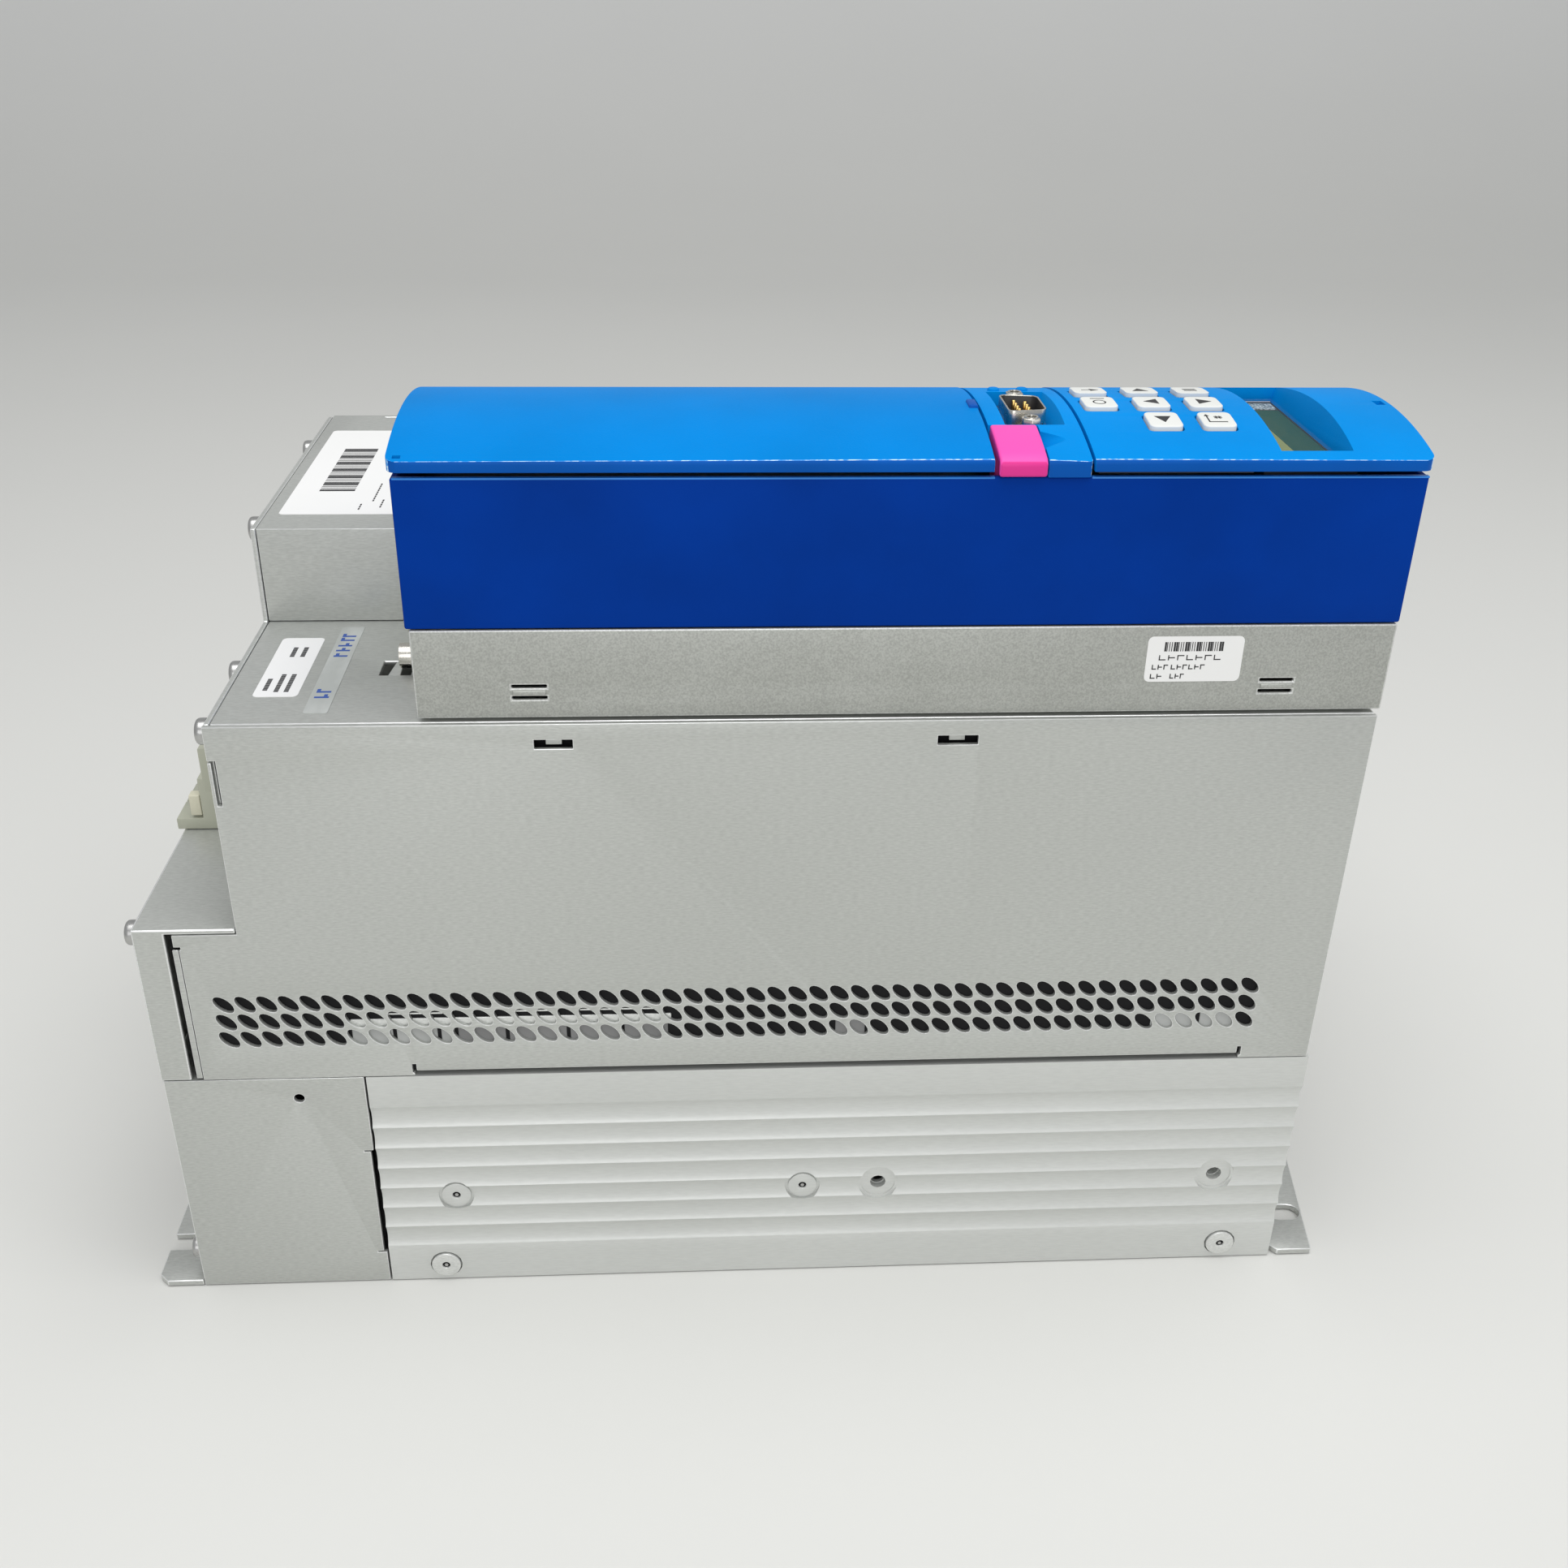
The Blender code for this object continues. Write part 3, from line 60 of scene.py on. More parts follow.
# %% Stand the camera
def aim(yaw, pitch, roll):
    """The camera's turn, from three angles in radians."""
    forward = Vector((sin(yaw) * cos(pitch), cos(yaw) * cos(pitch), -sin(pitch)))
    right = Vector((cos(yaw), -sin(yaw), 0.0))
    down = forward.cross(right)
    rolled_right = right * cos(roll) + down * sin(roll)
    rolled_down = -right * sin(roll) + down * cos(roll)
    return Matrix((rolled_right, -rolled_down, -forward)).transposed()


camera_data = bpy.data.cameras.new("portrait_camera")
camera_data.sensor_width = 36.0
camera_data.lens = 37.24
camera = bpy.data.objects.new("portrait_camera", camera_data)
bpy.context.scene.collection.objects.link(camera)
turn = aim(radians(3.56), radians(28.27), radians(-0.977)).to_4x4()
camera.matrix_world = Matrix.Translation((-0.0177, -0.4891, 0.3910)) @ turn
bpy.context.scene.camera = camera
print("camera at", [round(v, 3) for v in camera.location])

# %% [markdown]
# ## Hands for modelling
# The next few helpers stand for what one does by hand: pick an object, go into edit mode,
# select faces by where they are, apply a modifier. Everything is deselected first, because an
# operator acts on all that is selected, and the loaded model arrives selected.

# %% Pick, edit and apply
def pick(*pieces):
    """Selects only these objects, the first one active."""
    bpy.ops.object.select_all(action="DESELECT")
    for piece in pieces:
        piece.select_set(True)
    bpy.context.view_layer.objects.active = pieces[0]


def settle(piece):
    """Moves the piece's place, turn and scale into its mesh."""
    pick(piece)
    bpy.ops.object.transform_apply(location=True, rotation=True, scale=True)
    return piece


def modify(piece, kind, **settings):
    """Adds a modifier, sets it and applies it."""
    pick(piece)
    modifier = piece.modifiers.new(kind.title(), kind)
    for key, value in settings.items():
        setattr(modifier, key, value)
    bpy.ops.object.modifier_apply(modifier=modifier.name)
    return piece


def smooth(piece, angle=32):
    """Shades round surfaces smooth and keeps real corners crisp."""
    pick(piece)
    bpy.ops.object.shade_smooth_by_angle(angle=radians(angle), keep_sharp_edges=False)
    return piece


def round_edges(piece, width, segments=3, angle=35, slots=None):
    """Rounds every edge sharper than the angle. With two slots, the rounding takes the second."""
    if slots:
        for number, material in enumerate(slots):
            if number < len(piece.data.materials):
                piece.data.materials[number] = material
            else:
                piece.data.materials.append(material)
    modify(
        piece, "BEVEL", width=width, segments=segments, limit_method="ANGLE",
        angle_limit=radians(angle), use_clamp_overlap=True, harden_normals=False,
        material=1 if slots else -1,
    )
    return smooth(piece)


def select_where(piece, kind, test):
    """Goes into edit mode with only the faces or edges selected that pass the test."""
    pick(piece)
    bpy.ops.object.mode_set(mode="EDIT")
    bpy.ops.mesh.select_mode(type=kind)
    bpy.ops.mesh.select_all(action="DESELECT")
    bpy.ops.object.mode_set(mode="OBJECT")
    for item in piece.data.polygons if kind == "FACE" else piece.data.edges:
        item.select = test(item)
    bpy.ops.object.mode_set(mode="EDIT")


def select_faces(piece, test):
    """The test is given each face's centre and normal."""
    select_where(piece, "FACE", lambda face: test(face.center, face.normal))


def select_edges(piece, test):
    """The test is given the places of each edge's two ends."""
    select_where(piece, "EDGE", lambda edge: test(
        *[piece.data.vertices[end].co for end in edge.vertices]))


def select_whole(piece):
    """Goes into edit mode with everything selected."""
    pick(piece)
    bpy.ops.object.mode_set(mode="EDIT")
    bpy.ops.mesh.select_all(action="SELECT")


def done():
    bpy.ops.object.mode_set(mode="OBJECT")


# %% [markdown]
# ## Stock to cut from
# Blocks and round bars are the raw stock. They are never left as they are: each one is cut,
# bevelled, inset or joined below. `carve` subtracts one shape from another, `notch` subtracts
# a block, and `keep_inside` keeps the common part of two shapes. The exact solver copes with
# faces that lie in one plane.

# %% Blocks, bars and Booleans
def block(name, low, high):
    """A block between two corners."""
    low, high = Vector(low), Vector(high)
    bpy.ops.mesh.primitive_cube_add(size=1.0, location=(low + high) / 2)
    piece = bpy.context.object
    piece.name = piece.data.name = name
    piece.scale = high - low
    return settle(piece)


TURNS = {"X": (0, pi / 2, 0), "Y": (-pi / 2, 0, 0), "Z": (0, 0, 0)}


def bar(name, centre, axis, radius, length, sides=32, tip=None):
    """A round bar along X, Y or Z, or a cone that ends in the tip radius."""
    bpy.ops.mesh.primitive_cone_add(
        vertices=sides, radius1=radius, radius2=radius if tip is None else tip,
        depth=length, location=centre, rotation=TURNS[axis],
    )
    piece = bpy.context.object
    piece.name = piece.data.name = name
    return settle(piece)


def combine(piece, other, operation):
    modify(piece, "BOOLEAN", object=other, operation=operation, solver="EXACT")
    bpy.data.objects.remove(other, do_unlink=True)
    return piece


def carve(piece, cutter):
    return combine(piece, cutter, "DIFFERENCE")


def keep_inside(piece, shape):
    return combine(piece, shape, "INTERSECT")


def notch(piece, low, high):
    """Takes a block between two corners out of the piece."""
    return carve(piece, block("notch", low, high))


def gather(name, pieces):
    """Joins several objects into one mesh."""
    pick(*pieces)
    if len(pieces) > 1:
        bpy.ops.object.join()
    pieces[0].name = pieces[0].data.name = name
    return pieces[0]


def duplicate(piece, name, shift=(0, 0, 0)):
    """A copy with its own mesh, moved by the shift."""
    twin = bpy.data.objects.new(name, piece.data.copy())
    bpy.context.scene.collection.objects.link(twin)
    twin.location = shift
    return settle(twin)


def softened(node, width, segments=2, angle=35, slots=None):
    """A copy of a measured solid with its doubles merged and its edges rounded."""
    piece = duplicate(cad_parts[node], node + "_shape")
    select_whole(piece)
    bpy.ops.mesh.remove_doubles(threshold=2e-6)
    bpy.ops.mesh.dissolve_limited(angle_limit=radians(0.5))
    done()
    bpy.ops.mesh.customdata_custom_splitnormals_clear()
    if width:
        round_edges(piece, width, segments, angle, slots)
    return piece


def place(piece, material, body="chassis", node=None):
    """Gives a finished piece its material, its body and the measured node it stands for."""
    if material is not None:
        piece.data.materials.clear()
        piece.data.materials.append(material)
    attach(piece, body)
    if node:
        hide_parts(*([node] if isinstance(node, str) else node))
    print(piece.name, len(piece.data.polygons), "faces")
    return piece


print("tools ready")

# %% [markdown]
# ## Finishes
# Satin sheet metal is not one grey: rolling leaves fine lines along the sheet, and the zinc
# clouds a little. Moulded plastic has a fine grain that breaks up its shine. All of that is
# made from noise on Object coordinates, so it sits still on the piece. Stretching the noise
# along one axis turns clouds into rolled lines.

# %% Building blocks for finishes
def finish(name, colour, roughness, metallic=0.0, gloss=0.5):
    """A new material with the shader's plain values set."""
    material = bpy.data.materials.new(name)
    material.use_nodes = True
    shader = material.node_tree.nodes["Principled BSDF"]
    shader.inputs["Base Color"].default_value = (*colour, 1.0)
    shader.inputs["Roughness"].default_value = roughness
    shader.inputs["Metallic"].default_value = metallic
    shader.inputs["Specular IOR Level"].default_value = gloss
    return material


def noise(material, scale, stretch=(1, 1, 1), detail=3.0):
    """Noise on Object coordinates, with so many features per metre."""
    nodes, links = material.node_tree.nodes, material.node_tree.links
    place_on = nodes.new("ShaderNodeTexCoord")
    mapping = nodes.new("ShaderNodeMapping")
    mapping.inputs["Scale"].default_value = stretch
    texture = nodes.new("ShaderNodeTexNoise")
    texture.inputs["Scale"].default_value = scale
    texture.inputs["Detail"].default_value = detail
    links.new(place_on.outputs["Object"], mapping.inputs["Vector"])
    links.new(mapping.outputs["Vector"], texture.inputs["Vector"])
    return texture.outputs["Fac"]


def ramp(material, factor, low, high, dark, light):
    """Two colours spread over a part of the factor's range."""
    node = material.node_tree.nodes.new("ShaderNodeValToRGB")
    node.color_ramp.elements[0].position = low
    node.color_ramp.elements[1].position = high
    node.color_ramp.elements[0].color = (*dark, 1.0)
    node.color_ramp.elements[1].color = (*light, 1.0)
    material.node_tree.links.new(factor, node.inputs["Fac"])
    return node.outputs["Color"]


def multiply(material, first, second, amount):
    """Darkens the first colour by the second."""
    node = material.node_tree.nodes.new("ShaderNodeMix")
    node.data_type = "RGBA"
    node.blend_type = "MULTIPLY"
    node.inputs["Factor"].default_value = amount
    material.node_tree.links.new(first, node.inputs["A"])
    material.node_tree.links.new(second, node.inputs["B"])
    return node.outputs["Result"]


def paint(material, colour):
    shader = material.node_tree.nodes["Principled BSDF"]
    material.node_tree.links.new(colour, shader.inputs["Base Color"])


def polish(material, factor, low, high):
    """Lets the roughness wander between two values."""
    node = material.node_tree.nodes.new("ShaderNodeMapRange")
    node.inputs["To Min"].default_value = low
    node.inputs["To Max"].default_value = high
    material.node_tree.links.new(factor, node.inputs["Value"])
    shader = material.node_tree.nodes["Principled BSDF"]
    material.node_tree.links.new(node.outputs["Result"], shader.inputs["Roughness"])


def emboss(material, factor, strength, height):
    """Turns a factor into small bumps of that height in metres."""
    node = material.node_tree.nodes.new("ShaderNodeBump")
    node.inputs["Strength"].default_value = strength
    node.inputs["Distance"].default_value = height
    material.node_tree.links.new(factor, node.inputs["Height"])
    shader = material.node_tree.nodes["Principled BSDF"]
    material.node_tree.links.new(node.outputs["Normal"], shader.inputs["Normal"])


# %% [markdown]
# ### Metals
# The sheets are rolled and zinc plated, so their lines run along X. The extruded heat sink has
# longer, fainter die lines. The tray under the control unit has a warmer, mottled coat.

# %% Sheet, extrusion, coat and plated parts
def rolled(name, tone, metallic, roughness, line_stretch, contrast=0.08):
    """Satin metal with rolled lines along X over faint clouds."""
    dark = [value * (1 - contrast) for value in tone]
    light = [value * (1 + contrast) for value in tone]
    material = finish(name, tone, roughness, metallic)
    lines = noise(material, 2400.0, line_stretch, 3.0)
    clouds = noise(material, 9.0, (1, 1, 1), 3.0)
    fine = ramp(material, lines, 0.32, 0.68, dark, light)
    broad = ramp(material, clouds, 0.30, 0.75, (0.95, 0.95, 0.95), (1.0, 1.0, 1.0))
    paint(material, multiply(material, fine, broad, 0.8))
    polish(material, clouds, roughness - 0.04, roughness + 0.06)
    emboss(material, lines, 0.22, 0.0004 * contrast)
    return material


ZINC = rolled("zinc_sheet", (0.530, 0.543, 0.518), 0.60, 0.38, (0.22, 1.0, 1.0))
# The fold material is a painted highlight: rounded folds, edges and vent rims are painted brighter
# than the sheet.
ZINC_FOLD_HIGHLIGHT = rolled("zinc_fold_painted_highlight", (0.80, 0.81, 0.80), 0.75, 0.30, (0.22, 1.0, 1.0))
EXTRUSION = rolled("extruded_aluminium", (0.64, 0.652, 0.632), 0.50, 0.44, (0.12, 0.8, 0.8), 0.03)
COAT = finish("grey_coated_sheet", (0.36, 0.37, 0.345), 0.48, 0.45)
# The coated fold material is a painted highlight on the tray's rounded edges.
COAT_FOLD_HIGHLIGHT = finish("coated_fold_painted_highlight", (0.58, 0.59, 0.57), 0.40, 0.55)
for coat, tone in ((COAT, (0.41, 0.42, 0.392)), (COAT_FOLD_HIGHLIGHT, (0.64, 0.65, 0.63))):
    mottle = noise(coat, 2100.0, (1, 1, 1), 2.0)
    patches = noise(coat, 60.0, (1, 1, 1), 4.0)
    low, high = [value * 0.86 for value in tone], [value * 1.10 for value in tone]
    fine_mottle = ramp(coat, mottle, 0.35, 0.65, low, high)
    broad_patch = ramp(coat, patches, 0.3, 0.7, (0.95, 0.95, 0.945), (1.0, 1.0, 1.0))
    paint(coat, multiply(coat, fine_mottle, broad_patch, 1.0))
    emboss(coat, mottle, 0.3, 0.00004)


def plated(name, tone, roughness):
    """Bright plated metal with faint handling marks."""
    material = finish(name, tone, roughness, 1.0)
    marks = noise(material, 700.0, (1, 1, 1), 3.0)
    paint(material, ramp(material, marks, 0.3, 0.7, [v * 0.9 for v in tone], tone))
    polish(material, marks, roughness - 0.06, roughness + 0.10)
    return material


NICKEL = plated("nickel_plate", (0.62, 0.60, 0.55), 0.24)
STEEL = plated("screw_steel", (0.50, 0.50, 0.49), 0.28)
GOLD = plated("gold_pins", (0.90, 0.62, 0.22), 0.22)
RIVET = rolled("rivet_aluminium", (0.72, 0.73, 0.71), 0.60, 0.34, (0.5, 1.0, 1.0))
print("metals ready")

# %% [markdown]
# ### Plastics, glass and print
# The covers are injection moulded with a spark-eroded grain. Two scales of noise do it: a fine one
# for the grain and a broad one for the slight unevenness of the colour. The sparkle where a
# rounded rim catches the light is a painted highlight, in a rim material of its own.

# %% Moulded plastics
def moulded(name, tone, roughness, grain=0.00010, strength=0.35, change=0.06, gloss=0.5):
    """Moulded plastic with a fine grain and a slightly uneven colour."""
    material = finish(name, tone, roughness, 0.0, gloss)
    pits = noise(material, 2600.0, (1, 1, 1), 2.0)
    broad = noise(material, 22.0, (1, 1, 1), 4.0)
    dark = [value * (1 - change) for value in tone]
    light = [min(1.0, value * (1 + change)) for value in tone]
    paint(material, ramp(material, broad, 0.35, 0.65, dark, light))
    polish(material, pits, roughness - 0.07, roughness + 0.07)
    emboss(material, pits, strength, grain)
    return material


AZURE = moulded("azure_cover", (0.0, 0.205, 0.60), 0.50, 0.00012, 0.45, 0.05, 0.03)
AZURE_KEYPAD = moulded("azure_keypad_cover", (0.0, 0.235, 0.66), 0.50, 0.00012, 0.45, 0.05, 0.03)
# A darker blue for the covers' upright lips and undersides: painted shade.
AZURE_LIP_SHADE = moulded("azure_lip_painted_shade", (0.0, 0.085, 0.40), 0.42, 0.00008, 0.3, 0.08, 0.10)
DEEP_BLUE = moulded("deep_blue_housing", (0.0, 0.034, 0.27), 0.45, 0.00007, 0.3, 0.10, 0.04)
# A lighter blue for the housing's ledge bead: a painted highlight.
LEDGE_HIGHLIGHT_BLUE = moulded("ledge_painted_highlight", (0.02, 0.20, 0.62), 0.35, 0.00007, 0.3, 0.10, 0.4)
KEY_WHITE = moulded("key_white", (0.72, 0.73, 0.70), 0.40, 0.00004, 0.2, 0.02)
PINK = moulded("pink_module", (0.93, 0.075, 0.42), 0.42, 0.00005, 0.25, 0.03, 0.3)
PINK_LIP_SHADE = moulded("pink_lip_painted_shade", (0.72, 0.030, 0.27), 0.42, 0.00006, 0.3, 0.06, 0.3)

# A painted highlight for the rounded rims of the covers: bright flecks in place of the light the
# grain catches.
AZURE_RIM_HIGHLIGHT = finish("azure_rim_painted_highlight", (0.05, 0.42, 0.92), 0.30, 0.0, 0.5)
highlight_flecks = noise(AZURE_RIM_HIGHLIGHT, 1400.0, (0.45, 1.0, 1.0), 3.0)
paint(AZURE_RIM_HIGHLIGHT, ramp(AZURE_RIM_HIGHLIGHT, highlight_flecks, 0.45, 0.58, (0.01, 0.28, 0.80), (0.62, 0.84, 1.0)))
emboss(AZURE_RIM_HIGHLIGHT, highlight_flecks, 0.4, 0.00015)
BEIGE = moulded("beige_terminal", (0.40, 0.41, 0.33), 0.45, 0.00005, 0.25, 0.05)
CREAM = moulded("cream_lever", (0.62, 0.60, 0.47), 0.45, 0.00004, 0.2, 0.04)
BLACK = moulded("black_moulding", (0.018, 0.018, 0.020), 0.42, 0.00005, 0.3, 0.15)
GREY_BODY = moulded("grey_body", (0.20, 0.20, 0.20), 0.45, 0.00005, 0.3, 0.10)
RUBBER = moulded("key_mat_rubber", (0.05, 0.05, 0.055), 0.75, 0.00006, 0.3, 0.10)
SLEEVE = moulded("capacitor_sleeve", (0.015, 0.016, 0.022), 0.30, 0.00003, 0.2, 0.10)
PAPER = moulded("label_paper", (0.83, 0.83, 0.82), 0.45, 0.00002, 0.15, 0.01)
INK = moulded("black_ink", (0.02, 0.02, 0.022), 0.50, 0.00002, 0.1, 0.05)
BLUE_INK = moulded("blue_ink", (0.03, 0.09, 0.36), 0.50, 0.00002, 0.1, 0.05)
BOARD = moulded("circuit_board", (0.006, 0.035, 0.018), 0.40, 0.00005, 0.2, 0.15)
# Near-black sheets and discs that stand for shade: painted shade.
SHADE_FILM = moulded("black_film_painted_shade", (0.006, 0.006, 0.007), 0.60, 0.00003, 0.2, 0.15, 0.2)
RELAY = moulded("relay_case", (0.42, 0.43, 0.42), 0.40, 0.00003, 0.2, 0.30)
OLIVE = moulded("display_olive", (0.20, 0.23, 0.10), 0.80, 0.00002, 0.1, 0.05, 0.0)
TEAL = moulded("display_teal", (0.012, 0.065, 0.052), 0.80, 0.00002, 0.1, 0.05, 0.0)

GLASS = finish("display_glass", (0.80, 0.88, 0.84), 0.05)
GLASS.node_tree.nodes["Principled BSDF"].inputs["Alpha"].default_value = 0.03
TAPE = finish("clear_tape", (0.55, 0.57, 0.56), 0.30, 0.3)
wrinkles = noise(TAPE, 120.0, (1, 0.4, 1), 4.0)
paint(TAPE, ramp(TAPE, wrinkles, 0.4, 0.62, (0.50, 0.52, 0.50), (0.60, 0.62, 0.60)))
emboss(TAPE, wrinkles, 0.3, 0.0002)
print("plastics, glass and print ready")

# %% [markdown]
# ## Where things are
# Positions are read from the measured model, not typed in. The lower end of the body, the near
# side and the heights of the steps are all that most pieces need.

# %% Read the main places
body_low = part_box("fan_shroud")[0]
sink_low, sink_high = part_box("heat_sink")
panel_low, panel_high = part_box("side_panel_near")
deck_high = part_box("connection_cover")[1]
housing_low, housing_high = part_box("control_housing")
base_low, base_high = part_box("control_base")
cover_low, cover_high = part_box("front_cover")
keypad_low, keypad_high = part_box("keypad_cover")
bridge_low, bridge_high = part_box("bridge_cover")
X_START = body_low.x
Y_NEAR, Y_FAR = sink_low.y, sink_high.y
Z_SINK, Z_DECK = sink_high.z, deck_high.z
print("body starts at", round(X_START, 4), "and the deck is at", round(Z_DECK, 4))

# %% [markdown]
# ## The vented side panels
# Each side of the power housing is one flat sheet with three rows of slanted oval vents. The
# vents could be painted on, but their bright inner rims show the sheet's thickness, so they are
# real holes. One slanted oval bar is modelled, repeated with two Array modifiers, and taken out
# of the sheet in a single cut. A small bevel then rounds every hole, and its faces are painted
# brighter than the sheet: a painted highlight round every hole.

# %% Cut the vents
VENT_PITCH_X, VENT_PITCH_Z = 6.18 * MM, 6.25 * MM
VENT_LONG, VENT_SHORT = 7.1 * MM, 3.8 * MM


def vent_cutter(y):
    """Fifty by three slanted oval bars through the sheet at y."""
    centre = (X_START + 21.6 * MM, y, Z_SINK + 14.8 * MM)
    oval = bar("vent_cutter", (0, 0, 0), "Y", 0.5, 6 * MM, 18)
    pick(oval)
    oval.scale = (VENT_LONG, 1.0, VENT_SHORT)
    settle(oval)
    oval.rotation_euler = (0, radians(45), 0)
    oval.location = centre
    settle(oval)
    modify(oval, "ARRAY", count=50, use_relative_offset=False, use_constant_offset=True,
           constant_offset_displace=(VENT_PITCH_X, 0, 0))
    modify(oval, "ARRAY", count=3, use_relative_offset=False, use_constant_offset=True,
           constant_offset_displace=(0, 0, VENT_PITCH_Z))
    return oval


def side_panel(side, top):
    """A flat stepped sheet with vents, latch windows and a rebate over the heat sink."""
    low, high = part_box(f"side_panel_{side}")
    sheet = block(f"vented_panel_{side}", low, (high.x, high.y, top))
    y0, y1 = low.y - 4 * MM, high.y + 4 * MM
    step_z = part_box("terminal_cover")[1].z - 1.8 * MM
    notch(sheet, (low.x - MM, y0, step_z), (X_START + 28.8 * MM, y1, top + MM))
    rebate_x = (X_START + 74.2 * MM, sink_high.x - 22.5 * MM)
    notch(sheet, (rebate_x[0], y0, low.z - MM), (rebate_x[1], y1, low.z + 1.8 * MM))
    for x in rebate_x:
        notch(sheet, (x - 0.6 * MM, y0, low.z + MM), (x + 0.6 * MM, y1, low.z + 4.2 * MM))
    carve(sheet, vent_cutter((low.y + high.y) / 2))
    if side == "near":
        for start, end in ((115.8, 126.2), (225.1, 236.2)):
            notch(sheet, (X_START + start * MM, y0, Z_DECK - 7.5 * MM),
                  (X_START + end * MM, y1, Z_DECK - 4.7 * MM))
        strip_top = Z_SINK + 47.6 * MM
        notch(sheet, (low.x - MM, y0, low.z - MM), (low.x + 1.4 * MM, y1, strip_top))
        notch(sheet, (low.x - MM, y0, strip_top - 0.9 * MM), (low.x + 1.9 * MM, y1, strip_top))
        notch(sheet, (X_START + 29.8 * MM, y0, Z_DECK - 23.8 * MM),
              (X_START + 31.0 * MM, y1, Z_DECK - 10.0 * MM))
        notch(sheet, (X_START + 27 * MM, y0, Z_DECK - 10.6 * MM),
              (X_START + 30.2 * MM, y1, Z_DECK - 10.0 * MM))
    # The rounded edges and vent rims take the fold material, a painted highlight.
    round_edges(sheet, 0.26 * MM, 2, slots=(ZINC, ZINC_FOLD_HIGHLIGHT))
    return place(sheet, None, node=f"side_panel_{side}")


side_panel("near", panel_high.z)
side_panel("far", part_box("side_panel_far")[1].z)

# %% [markdown]
# The panel's latch windows show the spring tabs of the inner frame, and a narrow inner strip
# closes the seam beside the terminal cover. They are small folded pieces: a block, with one end
# pushed in so that it slants.

# %% Spring tabs and the seam strip
def latch_tab(name, x_middle):
    """A tongue behind a latch window, its top leaning inwards."""
    width, z = 2.2 * MM, Z_DECK - 6.1 * MM
    tab = block(name, (x_middle - width, panel_high.y + 0.1 * MM, z - 0.8 * MM),
                (x_middle + width, panel_high.y + 0.9 * MM, z + 4.2 * MM))
    select_faces(tab, lambda centre, normal: normal.z > 0.9)
    bpy.ops.transform.translate(value=(0, 0.9 * MM, 0))
    done()
    round_edges(tab, 0.2 * MM)
    place(tab, ZINC)
    # A black sheet behind the window is painted shade round the tab.
    shade = block(name + "_shade", (x_middle - 7 * MM, panel_high.y + 2.6 * MM, z - 5 * MM),
                  (x_middle + 7 * MM, panel_high.y + 3.0 * MM, z + 4.4 * MM))
    round_edges(shade, 0.1 * MM, 1)
    return place(shade, SHADE_FILM)


latch_tab("latch_tab_lower", X_START + 121.0 * MM)
latch_tab("latch_tab_upper", X_START + 230.6 * MM)
strip = block("seam_strip", (panel_low.x - 0.6 * MM, Y_NEAR + 0.35 * MM, panel_low.z + 0.4 * MM),
              (panel_low.x + 1.1 * MM, Y_NEAR + 1.2 * MM, Z_SINK + 46.4 * MM))
round_edges(strip, 0.15 * MM, slots=(ZINC, ZINC_FOLD_HIGHLIGHT))
place(strip, None)
# A black sheet behind the seam is painted shade in the seam.
backing = block("seam_shade", (panel_low.x - 1.5 * MM, Y_NEAR + 1.9 * MM, panel_low.z + 0.2 * MM),
                (panel_low.x + 3.0 * MM, Y_NEAR + 2.2 * MM, Z_SINK + 49.0 * MM))
round_edges(backing, 0.1 * MM, 1)
place(backing, SHADE_FILM)

# %% [markdown]
# ## Folded sheets
# The terminal step, the deck, the option cover, the fan shroud and the end plates are folded
# from the same sheet. Their measured shape is right, but a fold is never perfectly sharp. A
# copy of each is merged and bevelled, and the bevel is painted brighter than the sheet: a
# painted highlight, the thin bright line along every fold.

# %% Soften the folds
for node, width in (
    ("terminal_cover", 0.45), ("connection_cover", 0.5), ("option_cover", 0.7),
    ("lower_end_plate", 0.3), ("upper_end_plate", 0.3), ("back_plate", 0.3),
):
    folded = softened(node, 0)
    if node == "terminal_cover":
        flange_x = panel_low.x - 0.9 * MM
        notch(folded, (flange_x, Y_NEAR - MM, Z_SINK - MM),
              (panel_low.x + 0.2 * MM, Y_NEAR + 1.7 * MM, Z_SINK + 48 * MM))
    if node == "option_cover":
        groove_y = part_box(node)[1].y - 2.6 * MM
        notch(folded, (X_START + 49 * MM, groove_y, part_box(node)[1].z - 0.3 * MM),
              (X_START + 84 * MM, groove_y + 0.8 * MM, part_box(node)[1].z + MM))
    round_edges(folded, width * MM, 3, slots=(ZINC, ZINC_FOLD_HIGHLIGHT))
    place(folded, None, node=node)

shroud = softened("fan_shroud", 0)
edge_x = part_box("fan_shroud")[1].x
gap_low, gap_high = 12.2 * MM, 53.6 * MM
notch(shroud, (edge_x - 0.9 * MM, Y_NEAR - MM, gap_low), (edge_x + MM, Y_NEAR + 3 * MM, gap_high))
for z in (gap_low, gap_high):
    notch(shroud, (edge_x - 2.9 * MM, Y_NEAR - MM, z - 0.25 * MM),
          (edge_x + MM, Y_NEAR + 3 * MM, z + 0.25 * MM))
round_edges(shroud, 0.3 * MM, 2, slots=(ZINC, ZINC_FOLD_HIGHLIGHT))
place(shroud, None, node="fan_shroud")

# %% [markdown]
# ## The extruded heat sink
# Its outer walls carry shallow scallops that run the whole length, pressed out of the die with
# the fins. A scallop is a slice of a large round bar, so each one is cut with a bar whose
# radius follows from the scallop's width and depth.

